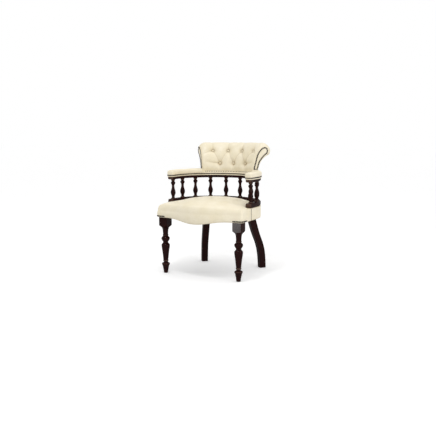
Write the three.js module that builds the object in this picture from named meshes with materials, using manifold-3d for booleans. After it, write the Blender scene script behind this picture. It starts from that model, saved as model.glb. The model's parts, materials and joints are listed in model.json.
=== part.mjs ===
// A captains chair: turned front legs, sabre back legs, a crowned leather seat, a horseshoe of ten
// spindles between two bent rails, padded arms and a buttoned back with a rolled top edge.
// Millimetres, +Z up, the sitter faces -Y. Left is -X and right is +X, as seen from the front.

import * as THREE from "three";
import { mergeVertices } from "three/addons/utils/BufferGeometryUtils.js";
import Module from "manifold-3d";

const wasm = await Module();
wasm.setup();

// Fits and cuts
const fitGap = 0.3;
const cutOverrun = 6;
const weldTolerance = 0.0001;

// Horseshoe: the line that both rails, the spindles, the arm pads and the back follow
const horseshoeRadius = 281;
const armReach = 79;
const railWidth = 41;
const railHeight = 28;
const railEdgeRadius = 8;
const railTipRadius = 8;
const dowelRadius = 5;
const dowelLength = 16;
const spindleCount = 10;
const spindleTipMargin = 34.4;
const spindleLength = 128;
const spindleRadius = 16.5;
const tenonRadius = 7.5;
const tenonLength = 12;
const railSegmentPitches = 2;

// Seat plan: a half circle behind, straight sides, rounded corners and a bowed front
const coverProud = 1;
const seatRadius = horseshoeRadius + railWidth / 2 + coverProud;
const seatCornerDepth = 208;
const seatCornerRadius = 17;
const seatCornerLeast = 2;
const seatBow = 54;

// Seat frame
const frameUnderside = 372;
const frameHeight = 58;
const frameThickness = 26;
const coverWall = 6.7;
const lipThickness = 5.7;
const lipWidth = 18;
const apronDip = 21;
const apronHalfSpan = 200;
const wallBulge = 5;
const frameTenonThickness = 10;
const frameTenonHeight = 34;
const frameTenonLength = 16;
const cornerBlockReach = 62;
const cornerBlockHeight = 36;

// Seat padding
const clampHeight = 13;
const seatCrown = 46;
const leatherThickness = 3;
const frontEdgeReach = 20;
const frontEdgeDrop = 34;
const clampEdge = 4;
const edgeLeast = 1;
const crownClearance = 1;
const crownFrontBlend = 50;
const seamDepth = 78;
const strapWidth = 50;
const strapThickness = 1.5;
const strapSpacing = 100;
const strapStep = 1.8;
const crossStrapFront = 60;
const crossStrapBack = 80;
const dustThickness = 1.5;
const dustInset = 23;

// Front legs
const legBlock = 60;
const frontLegInset = 10;
const frontLegSetback = 7;
const turnedHeight = 304;
const turnedRadius = 27;
const shoulderRadius = 46;
const shoulderHeight = 6;

// Back legs
const backHeadInset = 43.5;
const backLegSplay = 91;
const backLegAngle = 39.3;
const backFootSize = 42;
const backHeadSize = 47;
const backLegEdge = 4;

// Bolts and screws
const boltRadius = 4;
const boltHeadRadius = 9;
const boltHeadHeight = 5;
const boltBite = 32;
const boltSink = 2;
const spotFaceReach = 30;
const screwRadius = 2.5;
const screwHeadRadius = 6;
const screwHeadHeight = 4;
const screwBite = 12;
const screwAngle = 66;

// Arm pads
const padLeather = 2.7;
const skirtDrop = 10;
const padBulge = 2.4;
const padHeight = 35;
const padOverhang = 5;
const padTipRadius = 15;
const padTipReach = 22;
const padTipDrop = 15;
const ledgeHeight = 11.5;

// Back
const backSpanAngle = 45;
const backFootDepth = 11.5;
const backDepth = 125.5;
const backHeight = 202.5;
const endRoundingFoot = 7;
const endRoundingRoll = 24;
const outerCoverThickness = 2.7;
const facingThickness = 3;
const facingMargin = 5;
const boardThickness = 12;
const boardHeight = 108;
const boardEndMargin = 22;

// Buttons and tufts
const buttonPitchAngle = 19.7;
const buttonRadius = 7;
const buttonHeight = 4;
const buttonShankRadius = 1.5;
const buttonShankLength = 9;
const tuftDepth = 13;
const tuftRadius = 24;
const pleatDepth = 4;
const pleatHalfWidth = 9;

// Nails
const nailHalfWidth = 2.4;
const nailHeight = 2.2;

// Counts of facets and steps
const turnSides = 14;
const spindleSides = 8;
const boltSides = 8;
const arcSteps = 10;
const armSideSteps = 2;
const frontSideSteps = 2;
const cornerSteps = 3;
const frontSteps = 6;
const pathStepsPerPitch = 3;
const tuftStepsPerPitch = 6;

// Levels that follow from the driving heights
const frameTop = frameUnderside + frameHeight;
const baseRailBottom = frameTop + clampHeight;
const baseRailTop = baseRailBottom + railHeight;
const armRailBottom = baseRailTop + spindleLength;
const armRailTop = armRailBottom + railHeight;
const crownBase = baseRailBottom - fitGap;
const skirtBottom = armRailTop - skirtDrop;
const skirtHalfWidth = railWidth / 2 + fitGap + padLeather;
const frameInset = coverWall + fitGap;
const frameInnerInset = frameInset + frameThickness;
const frameMidInset = frameInset + frameThickness / 2;
const quarterRun = (horseshoeRadius * Math.PI) / 2;
const armRun = quarterRun + armReach;
const spindlePitch = (2 * (armRun - spindleTipMargin)) / (spindleCount - 1);
const jointRun = railSegmentPitches * spindlePitch;
const backSpan = THREE.MathUtils.degToRad(backSpanAngle);
const backRun = horseshoeRadius * backSpan;
const buttonPitch = THREE.MathUtils.degToRad(buttonPitchAngle);
const pathStep = (horseshoeRadius * buttonPitch) / pathStepsPerPitch;
const sideSteps = armSideSteps + frontSideSteps;
const frontLegX = seatRadius - frontLegInset - legBlock / 2;
const frontLegY = -seatCornerDepth + frontLegSetback + legBlock / 2;
const backLegTheta = THREE.MathUtils.degToRad(backLegAngle);
const backHeadRadius = seatRadius - backHeadInset;
const backFootRadius = backHeadRadius + backLegSplay;
const pinchedRadius = horseshoeRadius - railWidth / 2 - crownClearance;

// Materials
const finish = (color, roughness, metalness = 0) =>
  new THREE.MeshStandardMaterial({ color, roughness, metalness });
const creamLeather = finish(0xefe5c9, 0.45);
const darkMahogany = finish(0x240908, 0.22);
const beech = finish(0xc49a63, 0.6);
const birchPly = finish(0xd0ae7c, 0.65);
const paleFoam = finish(0xe9dfb4, 0.95);
const juteStrap = finish(0xa88452, 0.9);
const blackCloth = finish(0x1a1a1c, 0.95);
const zincSteel = finish(0x9a9da2, 0.35, 0.9);
const antiqueNail = finish(0x4c4345, 0.35, 0.9);

const chair = new THREE.Group();
const vector = (x, y, z) => new THREE.Vector3(x, y, z);
const smooth = (value, from, to) => THREE.MathUtils.smoothstep(value, from, to);
const range = (count) => Array.from({ length: count }, (_, i) => i);
const steps = (from, to, count) => range(count + 1).map((i) => from + ((to - from) * i) / count);

// Solids from shared corners and triangles, turned so that the faces point out
function solidOf(corners, triangles) {
  const volume = triangles.reduce(
    (sum, [a, b, c]) => sum + corners[a].dot(corners[b].clone().cross(corners[c])), 0);
  const outward = volume < 0 ? triangles.map(([a, b, c]) => [a, c, b]) : triangles;
  return new wasm.Manifold(new wasm.Mesh({
    numProp: 3,
    vertProperties: new Float32Array(corners.flatMap((corner) => corner.toArray())),
    triVerts: new Uint32Array(outward.flat()),
  }));
}

function solidFrom(geometry) {
  const bare = geometry.clone();
  bare.deleteAttribute("normal");
  bare.deleteAttribute("uv");
  const merged = mergeVertices(bare, weldTolerance);
  const position = merged.getAttribute("position");
  const corners = range(position.count).map((i) => vector(0, 0, 0).fromBufferAttribute(position, i));
  const index = Array.from(merged.index.array);
  const triangles = range(index.length / 3)
    .map((i) => index.slice(3 * i, 3 * i + 3))
    .filter(([a, b, c]) => a !== b && b !== c && c !== a);
  return solidOf(corners, triangles);
}

// Adds a finished solid to the chair as a named piece.
function piece(name, solid, material) {
  const mesh = solid.getMesh();
  const geometry = new THREE.BufferGeometry();
  geometry.setAttribute("position", new THREE.Float32BufferAttribute(mesh.vertProperties, 3));
  geometry.setIndex(Array.from(mesh.triVerts));
  geometry.computeVertexNormals();
  const node = new THREE.Mesh(geometry, material);
  node.name = name;
  chair.add(node);
}

// Triangles across a flat ring, in the ring's own turning sense
function capOf(ring) {
  const normal = vector(0, 0, 0);
  ring.forEach((corner, i) => normal.add(corner.clone().cross(ring[(i + 1) % ring.length])));
  normal.normalize();
  const across = ring[1].clone().sub(ring[0]).projectOnPlane(normal).normalize();
  const along = normal.clone().cross(across);
  const flat = ring.map((corner) => new THREE.Vector2(corner.dot(across), corner.dot(along)));
  return THREE.ShapeUtils.triangulateShape(flat, []).map(([a, b, c]) => {
    const turn = flat[b].clone().sub(flat[a]).cross(flat[c].clone().sub(flat[a]));
    return turn < 0 ? [a, c, b] : [a, b, c];
  });
}

// A skin through rings of points. A ring of one point is a pole; a looped skin has no ends.
function loft(rings, looped = false) {
  const starts = [];
  rings.reduce((sum, ring) => {
    starts.push(sum);
    return sum + ring.length;
  }, 0);
  const triangles = [];
  const spans = looped ? rings.length : rings.length - 1;
  for (const i of range(spans)) {
    const [near, far] = [rings[i], rings[(i + 1) % rings.length]];
    const [nearStart, farStart] = [starts[i], starts[(i + 1) % rings.length]];
    const count = Math.max(near.length, far.length);
    for (const j of range(count)) {
      const next = (j + 1) % count;
      const a = nearStart + (near.length > 1 ? j : 0);
      const b = nearStart + (near.length > 1 ? next : 0);
      const c = farStart + (far.length > 1 ? next : 0);
      const d = farStart + (far.length > 1 ? j : 0);
      if (a !== b) triangles.push([a, b, c]);
      if (c !== d) triangles.push([a, c, d]);
    }
  }
  const [first, last] = [rings[0], rings[rings.length - 1]];
  const lastStart = starts[rings.length - 1];
  if (!looped && first.length > 1) triangles.push(...capOf(first).map(([a, b, c]) => [a, c, b]));
  if (!looped && last.length > 1) {
    triangles.push(...capOf(last).map((corners) => corners.map((corner) => corner + lastStart)));
  }
  return solidOf(rings.flat(), triangles);
}

function box(xFrom, xTo, yFrom, yTo, zFrom, zTo) {
  const geometry = new THREE.BoxGeometry(xTo - xFrom, yTo - yFrom, zTo - zFrom);
  geometry.translate((xFrom + xTo) / 2, (yFrom + yTo) / 2, (zFrom + zTo) / 2);
  return solidFrom(geometry);
}

// A turned solid on the axis from one point towards another; the profile is [radius, height].
function turned(profile, sides, base, towards) {
  const geometry = new THREE.LatheGeometry(profile.map(([r, h]) => new THREE.Vector2(r, h)), sides);
  const direction = towards.clone().sub(base).normalize();
  geometry.applyQuaternion(new THREE.Quaternion().setFromUnitVectors(vector(0, 1, 0), direction));
  geometry.translate(base.x, base.y, base.z);
  return solidFrom(geometry);
}

function rod(radius, from, to, sides) {
  const length = from.distanceTo(to);
  return turned([[0, 0], [radius, 0], [radius, length], [0, length]], sides, from, to);
}

// The left-hand twin of a right-hand solid
const mirrorX = (solid) => solid.mirror([1, 0, 0]);

// Horseshoe
const radial = (theta, radius, z) => vector(radius * Math.sin(theta), radius * Math.cos(theta), z);

// A point at a run from the middle of the back, an offset outward from the line, and a height.
// The half circle is a row of short chords, the same for every piece that follows it.
function onHorseshoe(run, offset, z) {
  const along = Math.abs(run);
  const radius = horseshoeRadius + offset;
  const from = Math.min(Math.floor(along / pathStep) * pathStep, quarterRun);
  const to = Math.min(from + pathStep, quarterRun);
  const share = to > from ? (along - from) / (to - from) : 0;
  const bend = radial(from / horseshoeRadius, radius, z)
    .lerp(radial(to / horseshoeRadius, radius, z), share);
  const point = along >= quarterRun ? vector(radius, quarterRun - along, z) : bend;
  return run < 0 ? point.setX(-point.x) : point;
}

// The runs between two runs at which the chords meet, with both ends
function pathRuns(from, to) {
  const count = Math.ceil(quarterRun / pathStep);
  const knots = range(2 * count + 1).map((i) => Math.abs(i - count) < count
    ? (i - count) * pathStep : Math.sign(i - count) * quarterRun);
  const least = pathStep / 50;
  return [from, ...knots.filter((run) => run > from + least && run < to - least), to];
}

const cornerShares = [0.12, 0.88];

function roundedSection(halfWidth, bottom, height, radius) {
  const corner = (x, z, quarter) => cornerShares.map((share) => {
    const angle = ((quarter + share) * Math.PI) / 2;
    return [x + radius * Math.cos(angle), z + radius * Math.sin(angle)];
  });
  const [x, low, high] = [halfWidth - radius, bottom + radius, bottom + height - radius];
  return [...corner(x, high, 0), ...corner(-x, high, 1), ...corner(-x, low, 2), ...corner(x, low, 3)];
}

// How far a rounded end has drawn in, at a distance from its tip
const drawIn = (radius, fromTip) =>
  fromTip >= radius ? 0 : radius - Math.sqrt(radius ** 2 - (radius - fromTip) ** 2);

const tipShares = [1, 0.5, 0.15, 0];

// A rail segment between two runs; a run that ends at the arm's tip is rounded there.
function railSegment(bottom, fromRun, toRun, grow = 0) {
  const halfWidth = railWidth / 2 + grow;
  const height = railHeight + 2 * grow;
  const section = roundedSection(halfWidth, bottom - grow, height, railEdgeRadius);
  const mid = bottom + railHeight / 2;
  const tips = tipShares.map((share) => armRun + grow - share * railTipRadius);
  const runs = [
    ...(fromRun <= -armRun ? tips.map((run) => -run).reverse() : []),
    ...pathRuns(Math.max(fromRun, -quarterRun), Math.min(toRun, quarterRun)),
    ...(toRun >= armRun ? tips : []),
  ];
  return loft(runs.map((run) => {
    const fromTip = armRun + grow - Math.abs(run);
    const widthShare = (halfWidth - drawIn(railTipRadius, fromTip)) / halfWidth;
    const heightShare = (height / 2 - drawIn(railEdgeRadius, fromTip)) / (height / 2);
    return section.map(([x, z]) => onHorseshoe(run, x * widthShare, mid + (z - mid) * heightShare));
  }));
}

const spindleRuns = range(spindleCount).map((i) => (i - (spindleCount - 1) / 2) * spindlePitch);

// Foot ring, bulb, waist and upper ring of a spindle, as shares of its length and radius
const spindleShares = [
  [0, 0.9], [0.024, 0.9], [0.08, 0.58], [0.15, 0.62], [0.235, 0.87], [0.32, 1], [0.41, 0.89],
  [0.52, 0.63], [0.64, 0.515], [0.74, 0.62], [0.82, 0.88], [0.9, 0.575], [0.965, 0.79], [1, 0.79],
];

function spindle(run) {
  const profile = [
    [0, -tenonLength], [tenonRadius, -tenonLength], [tenonRadius, 0],
    ...spindleShares.map(([h, r]) => [r * spindleRadius, h * spindleLength]),
    [tenonRadius, spindleLength], [tenonRadius, spindleLength + tenonLength],
    [0, spindleLength + tenonLength],
  ];
  return turned(profile, spindleSides, onHorseshoe(run, 0, baseRailTop), onHorseshoe(run, 0, armRailTop));
}

// Blind holes for the tenons, cut upward or downward from a rail's face
function tenonHoles(face, direction) {
  return spindleRuns.map((run) => rod(
    tenonRadius + fitGap,
    onHorseshoe(run, 0, face - direction * cutOverrun),
    onHorseshoe(run, 0, face + direction * (tenonLength + fitGap)),
    spindleSides));
}

// A dowel that stands out of the back segment into a side segment
function railDowel(bottom, side, grow) {
  const z = bottom + railHeight / 2;
  const end = onHorseshoe(side * jointRun, 0, z);
  const tangent = onHorseshoe(side * (jointRun + dowelLength), 0, z).sub(end).normalize();
  return rod(
    dowelRadius + grow,
    end.clone().addScaledVector(tangent, -dowelLength),
    end.clone().addScaledVector(tangent, dowelLength + grow),
    boltSides);
}

// How much further a cutter runs on than the piece it makes room for
const overrun = (grow) => (grow > 0 ? cutOverrun : 0);

const cutAll = (solid, cutters) => cutters.reduce((rest, cutter) => rest.subtract(cutter), solid);

function makeRail(name, bottom, holes) {
  const back = [1, -1].reduce(
    (solid, side) => solid.add(railDowel(bottom, side, 0)),
    railSegment(bottom, -jointRun, jointRun));
  piece(`${name}_back`, cutAll(back, holes), darkMahogany);
  const right = railSegment(bottom, jointRun + fitGap, armRun)
    .subtract(railDowel(bottom, 1, fitGap));
  const left = railSegment(bottom, -armRun, -jointRun - fitGap)
    .subtract(railDowel(bottom, -1, fitGap));
  piece(`${name}_right`, cutAll(right, holes), darkMahogany);
  piece(`${name}_left`, cutAll(left, holes), darkMahogany);
}

// Seat plan
const seatFrontX = seatRadius - seatCornerRadius;
const bow = (x) => {
  const share = Math.min(Math.abs(x) / seatFrontX, 1);
  return seatBow * (0.5 + 0.5 * Math.cos(Math.PI * share));
};
const seatHalfCount = arcSteps + sideSteps + cornerSteps + frontSteps;
const seatCount = 2 * seatHalfCount;

// A point of the seat's outline, numbered round from the middle of the back, set in by an inset
function seatPoint(index, inset) {
  const left = index > seatHalfCount;
  const i = left ? seatCount - index : index;
  const side = left ? -1 : 1;
  const half = seatRadius - inset;
  const corner = Math.max(seatCornerRadius - inset, seatCornerLeast);
  const sideArm = -armReach - crownClearance;
  const sideFront = -seatCornerDepth + inset + corner;
  if (i <= arcSteps) {
    const turn = (i / arcSteps) * (Math.PI / 2);
    return new THREE.Vector2(side * half * Math.sin(turn), half * Math.cos(turn));
  }
  if (i <= arcSteps + armSideSteps) {
    return new THREE.Vector2(side * half, (sideArm * (i - arcSteps)) / armSideSteps);
  }
  if (i <= arcSteps + sideSteps) {
    const share = (i - arcSteps - armSideSteps) / frontSideSteps;
    return new THREE.Vector2(side * half, sideArm + (sideFront - sideArm) * share);
  }
  if (i <= arcSteps + sideSteps + cornerSteps) {
    const turn = ((i - arcSteps - sideSteps) / cornerSteps) * (Math.PI / 2);
    return new THREE.Vector2(
      side * (half - corner + corner * Math.cos(turn)), sideFront - corner * Math.sin(turn));
  }
  const x = (half - corner) * ((seatHalfCount - i) / frontSteps);
  return new THREE.Vector2(side * x, -seatCornerDepth + inset - bow(x));
}

// The underside of the leather dips along the front apron.
function apronDrop(x, y) {
  if (y > -seatCornerDepth + seatCornerRadius) return 0;
  const share = Math.min(Math.abs(x) / apronHalfSpan, 1);
  return apronDip * (0.5 + 0.5 * Math.cos(Math.PI * share));
}

const coverBottom = frameUnderside - fitGap - lipThickness;

// A swell from nothing at the edge to the whole at the middle
const swellShare = (distance, reach) => {
  const rest = 1 - Math.min(Math.max(distance / reach, 0), 1);
  return (1 - rest ** 2.2) ** 0.6;
};

function crownHeight(x, y) {
  const front = smooth(-y, armReach + crownClearance, armReach + crownFrontBlend);
  const side = pinchedRadius + (seatRadius - pinchedRadius) * front;
  const fromSide = side - (y > 0 ? Math.hypot(x, y) : Math.abs(x));
  const fromFront = y + seatCornerDepth + bow(x);
  return crownBase + seatCrown * swellShare(fromSide, side) *
    swellShare(fromFront, seatCornerDepth + seatBow);
}

// The edge is sharp where the base rail clamps it and full along the front.
const edgeBlend = (y) => smooth(-y, armReach + crownClearance, armReach + crownFrontBlend);
const edgeReachAt = (y) => clampEdge + (frontEdgeReach - clampEdge) * edgeBlend(y);
const edgeDropAt = (y) => clampEdge + (frontEdgeDrop - clampEdge) * edgeBlend(y);

function seatTop(x, y, inset) {
  const reach = edgeReachAt(y);
  return crownHeight(x, y) - (edgeDropAt(y) * drawIn(reach, inset)) / reach;
}

const crownCentreY = -seatBow / 2;
const outerShares = {
  edge: [0, 0.08, 0.3, 0.62, 1], crown: [0, 0.015, 0.05, 0.125, 0.25], middle: [0.62, 0.3],
};
const innerShares = { edge: [0, 0.35, 1], crown: [0, 0.05, 0.185], middle: [0.5] };

// Rings over the seat from its wall to the middle, lowered and set in for what lies under
function seatTopRings(wallInset, lower, shares) {
  const rings = shares.edge.map((share) => range(seatCount).map((i) => {
    const edge = edgeReachAt(seatPoint(i, 0).y);
    const inset = wallInset + share * Math.max(edge - wallInset, edgeLeast);
    const point = seatPoint(i, inset);
    return vector(point.x, point.y, seatTop(point.x, point.y, inset) - lower);
  }));
  const crownInsets = shares.crown.map((share) => seatRadius - pinchedRadius + share * pinchedRadius);
  for (const inset of crownInsets) {
    rings.push(range(seatCount).map((i) => {
      const point = seatPoint(i, inset);
      return vector(point.x, point.y, seatTop(point.x, point.y, inset) - lower);
    }));
  }
  const rim = range(seatCount).map((i) => seatPoint(i, crownInsets.at(-1)));
  for (const share of shares.middle) {
    rings.push(rim.map((point) => {
      const [x, y] = [point.x * share, crownCentreY + (point.y - crownCentreY) * share];
      return vector(x, y, crownHeight(x, y) - lower);
    }));
  }
  rings.push([vector(0, crownCentreY, crownHeight(0, crownCentreY) - lower)]);
  return rings;
}

// A ring of the seat's plan at a level, with or without the apron's dip
const planRing = (inset, z, dip = 0) => range(seatCount).map((i) => {
  const point = seatPoint(i, inset);
  return vector(point.x, point.y, z - dip * apronDrop(point.x, seatPoint(i, 0).y));
});

const planPlate = (inset, zFrom, zTo) => loft([
  [vector(0, crownCentreY, zFrom)], planRing(inset, zFrom), planRing(inset, zTo),
  [vector(0, crownCentreY, zTo)],
]);

// The seat rails' section along part of the plan
function planRail(fromIndex, toIndex, grow) {
  const indices = range(toIndex - fromIndex + 1).map((i) => (fromIndex + i + seatCount) % seatCount);
  return loft(indices.map((i) => {
    const [outer, inner] = [seatPoint(i, frameInset - grow), seatPoint(i, frameInnerInset + grow)];
    const drop = apronDrop(outer.x, seatPoint(i, 0).y);
    const low = frameUnderside - drop - grow;
    return [
      vector(outer.x, outer.y, low), vector(outer.x, outer.y, frameTop + grow),
      vector(inner.x, inner.y, frameTop + grow), vector(inner.x, inner.y, low),
    ];
  }));
}

const blockInnerX = frontLegX - legBlock / 2;
const blockOuterX = frontLegX + legBlock / 2;
const blockBackY = frontLegY + legBlock / 2;
const frameMidZ = frameTop - frameHeight / 2;
const sideRailMidX = seatRadius - frameMidInset;

function frameTenon(xMid, yMid, lengthwiseX, grow) {
  const [long, thin] = [frameTenonLength + grow, frameTenonThickness / 2 + grow];
  const tall = frameTenonHeight / 2 + grow;
  const [halfX, halfY] = lengthwiseX ? [long, thin] : [thin, long];
  return box(xMid - halfX, xMid + halfX, yMid - halfY, yMid + halfY, frameMidZ - tall, frameMidZ + tall);
}

const frontTenonY = -seatCornerDepth - bow(blockInnerX) + frameMidInset;
const sideTenonX = Math.min(sideRailMidX, blockOuterX - frameTenonThickness);
const frontTenon = (grow) => frameTenon(blockInnerX, frontTenonY, true, grow);
const sideTenon = (grow) => frameTenon(sideTenonX, blockBackY, false, grow);
const ringTenon = (grow) => frameTenon(sideRailMidX, 0, false, grow);

// Front legs
// Foot, ring, bead, urn, neck, ring and throat of a front leg, as shares of its height and radius
const frontLegShares = [
  [0, 0.46], [0.013, 0.5], [0.086, 0.63], [0.166, 0.8], [0.19, 0.94], [0.208, 0.963],
  [0.225, 0.63], [0.24, 0.52], [0.267, 0.665], [0.283, 0.58], [0.355, 0.675], [0.444, 0.778],
  [0.533, 0.925], [0.596, 1], [0.625, 0.89], [0.65, 0.67], [0.68, 0.63], [0.701, 0.805],
  [0.728, 0.965], [0.757, 1], [0.789, 0.665], [0.813, 0.68], [0.83, 0.64], [0.938, 0.69],
  [0.98, 0.88], [1, 1.14],
];

function frontLegPost(grow) {
  const half = legBlock / 2 + grow;
  const high = box(
    frontLegX - half, frontLegX + half, frontLegY - half, frontLegY + half,
    coverBottom - fitGap - grow, frameTop + grow);
  return high.intersect(planPlate(frameInset - grow, coverBottom - cutOverrun, frameTop + cutOverrun));
}

function frontLeg() {
  const top = coverBottom - fitGap;
  const profile = [
    [0, 0],
    ...frontLegShares.map(([h, r]) => [r * turnedRadius, h * turnedHeight]),
    [shoulderRadius, turnedHeight + shoulderHeight], [shoulderRadius, top], [0, top],
  ];
  const axis = [vector(frontLegX, frontLegY, 0), vector(frontLegX, frontLegY, top)];
  const half = legBlock / 2;
  const block = box(
    frontLegX - half, frontLegX + half, frontLegY - half, frontLegY + half, -cutOverrun, top);
  return turned(profile, turnSides, ...axis).intersect(block).add(frontLegPost(0));
}

// Back legs
// How far a sabre leg has moved in from its foot, against its height under the frame
const sabreShares = [
  [0, 0], [0.08, 0.012], [0.16, 0.033], [0.25, 0.07], [0.34, 0.13], [0.42, 0.215], [0.48, 0.297],
  [0.56, 0.43], [0.65, 0.571], [0.74, 0.69], [0.82, 0.79], [0.91, 0.9], [1, 1],
];

function backLeg(grow) {
  const ring = (z, radius, size) => {
    const half = size / 2 + grow;
    return roundedSection(half, -half, 2 * half, backLegEdge).map(([across, out]) => vector(
      (radius + out) * Math.sin(backLegTheta) + across * Math.cos(backLegTheta),
      (radius + out) * Math.cos(backLegTheta) - across * Math.sin(backLegTheta), z));
  };
  const sizeAt = (share) => backFootSize + (backHeadSize - backFootSize) * share;
  const rings = sabreShares.map(([height, inward]) => ring(
    height * frameUnderside, backFootRadius - inward * backLegSplay, sizeAt(height)));
  rings.push(ring(frameTop, backHeadRadius, backHeadSize));
  return loft(rings);
}

// Bolt through the back rail, from a head let into its outer face to a nut inside the leg's head
function backLegBolt(grow) {
  const outer = seatRadius - frameInset - boltSink;
  const inner = backHeadRadius - backHeadSize / 2;
  const head = rod(
    boltHeadRadius + grow, radial(backLegTheta, outer + overrun(grow), frameMidZ),
    radial(backLegTheta, outer - boltHeadHeight - grow, frameMidZ), boltSides);
  const shank = rod(
    boltRadius + grow, radial(backLegTheta, outer - boltHeadHeight / 2, frameMidZ),
    radial(backLegTheta, inner - boltHeadHeight - overrun(grow), frameMidZ), boltSides);
  return head.add(shank);
}

function backLegNut() {
  const inner = backHeadRadius - backHeadSize / 2 - fitGap;
  return rod(
    boltHeadRadius, radial(backLegTheta, inner, frameMidZ),
    radial(backLegTheta, inner - boltHeadHeight, frameMidZ), boltSides);
}

// Hanger bolt on the diagonal of the block, with its nut on the corner block
const diagonal = vector(1, -1, 0).normalize();
const blockCorner = vector(blockInnerX, blockBackY, frameMidZ);
const cornerBlockDepth = cornerBlockReach / Math.SQRT2 / 3;
const onDiagonal = (distance) => blockCorner.clone().addScaledVector(diagonal, distance);

function frontLegBolt(grow) {
  return rod(
    boltRadius + grow, onDiagonal(-cornerBlockDepth - boltHeadHeight - overrun(grow)),
    onDiagonal(boltBite + grow), boltSides);
}

const frontLegNut = (grow) => rod(
  boltHeadRadius + grow, onDiagonal(-cornerBlockDepth + fitGap - grow),
  onDiagonal(-cornerBlockDepth - boltHeadHeight - (grow > 0 ? spotFaceReach : 0)), boltSides);

// Screw up through the back rail, the padding and the leather into the base rail
const screwTheta = THREE.MathUtils.degToRad(screwAngle);
function railScrew(grow) {
  const tip = baseRailBottom + screwBite;
  const profile = [
    [0, -overrun(grow)], [screwHeadRadius + grow, -overrun(grow)],
    [screwHeadRadius + grow, screwHeadHeight + grow], [screwRadius + grow, screwHeadHeight + grow],
    [screwRadius + grow, tip - frameUnderside - fitGap + grow], [0, tip - frameUnderside - fitGap + grow],
  ];
  return turned(
    profile, boltSides, radial(screwTheta, horseshoeRadius, frameUnderside + fitGap),
    radial(screwTheta, horseshoeRadius, tip));
}

const bothSides = (solid) => [solid, mirrorX(solid)];

function makeLegs() {
  const front = cutAll(frontLeg(), [frontTenon(fitGap), sideTenon(fitGap), frontLegBolt(fitGap)]);
  piece("front_leg_right", front, darkMahogany);
  piece("front_leg_left", mirrorX(front), darkMahogany);
  const back = cutAll(backLeg(0), [planRail(-arcSteps, arcSteps, fitGap), backLegBolt(fitGap)]);
  piece("back_leg_right", back, darkMahogany);
  piece("back_leg_left", mirrorX(back), darkMahogany);
}

function makeFrame() {
  const between = blockInnerX - fitGap;
  const frontSpan = [arcSteps + sideSteps + cornerSteps, seatCount - arcSteps - sideSteps - cornerSteps];
  const front = planRail(...frontSpan, 0)
    .intersect(box(-between, between, -2 * seatRadius, 0, 0, 2 * frameTop));
  piece("seat_rail_front", bothSides(frontTenon(0)).reduce((a, b) => a.add(b), front), beech);

  const holes = [...bothSides(backLegBolt(fitGap)), ...bothSides(railScrew(fitGap)),
    ...bothSides(ringTenon(fitGap))];
  piece("seat_rail_back", cutAll(planRail(-arcSteps, arcSteps, 0), holes), beech);

  const side = box(
    seatRadius - frameInnerInset, seatRadius - frameInset, blockBackY + fitGap, -fitGap,
    frameUnderside, frameTop).add(sideTenon(0)).add(ringTenon(0));
  piece("seat_rail_right", side, beech);
  piece("seat_rail_left", mirrorX(side), beech);

  const grownSide = box(
    seatRadius - frameInnerInset - fitGap, seatRadius, blockBackY, 0, frameUnderside, frameTop);
  const half = legBlock / 2 + fitGap;
  const grownBlock = box(
    frontLegX - half, frontLegX + half, frontLegY - half, frontLegY + half, frameUnderside, frameTop);
  const low = frameMidZ - cornerBlockHeight / 2;
  const insideX = seatRadius - frameInnerInset;
  const startX = blockInnerX - cornerBlockReach;
  const triangle = [
    [startX, -seatCornerDepth - bow(startX) + frameMidInset],
    [insideX, -seatCornerDepth + frameMidInset], [insideX, blockBackY + cornerBlockReach],
    [startX, -seatCornerDepth - bow(startX) + frameInnerInset],
  ].map(([x, y]) => vector(x, y, low));
  const wedge = loft([triangle, triangle.map((p) => p.clone().setZ(low + cornerBlockHeight))]);
  const corner = cutAll(wedge, [
    planRail(...frontSpan, fitGap), grownSide, grownBlock, frontLegBolt(fitGap), frontLegNut(fitGap)]);
  piece("corner_block_right", corner, beech);
  piece("corner_block_left", mirrorX(corner), beech);

  const hanger = frontLegBolt(0).add(frontLegNut(0));
  piece("front_leg_bolt_right", hanger, zincSteel);
  piece("front_leg_bolt_left", mirrorX(hanger), zincSteel);
  const carriage = backLegBolt(0).add(backLegNut());
  piece("back_leg_bolt_right", carriage, zincSteel);
  piece("back_leg_bolt_left", mirrorX(carriage), zincSteel);
  piece("rail_screw_right", railScrew(0), zincSteel);
  piece("rail_screw_left", mirrorX(railScrew(0)), zincSteel);
}

// Webbing: long straps lie flat on the frame, cross straps pass under and over them in turn.
const strapLow = frameTop + fitGap;
const strapLevels = [strapLow - strapStep, strapLow, strapLow + strapStep];

function longStrap(x) {
  const back = Math.sqrt((seatRadius - frameMidInset) ** 2 - x ** 2);
  const front = -seatCornerDepth - bow(x) + frameMidInset;
  return box(x - strapWidth / 2, x + strapWidth / 2, front, back, strapLow, strapLow + strapThickness);
}

function crossStrap(y) {
  const reach = y < 0 ? sideRailMidX : Math.sqrt(sideRailMidX ** 2 - y ** 2);
  const half = strapWidth / 2;
  const hop = (strapSpacing - strapWidth) / 2;
  const near = [0, half, strapSpacing - half, strapSpacing + half, strapSpacing + half + hop, reach];
  const levels = [2, 2, 0, 0, 1, 1];
  const stations = [
    ...near.slice(1).map((x, i) => [-x, levels[i + 1]]).reverse(),
    ...near.slice(1).map((x, i) => [x, levels[i + 1]]),
  ];
  return loft(stations.map(([x, level]) => {
    const z = strapLevels[level];
    return [
      vector(x, y - half, z), vector(x, y + half, z),
      vector(x, y + half, z + strapThickness), vector(x, y - half, z + strapThickness),
    ];
  }));
}

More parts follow.
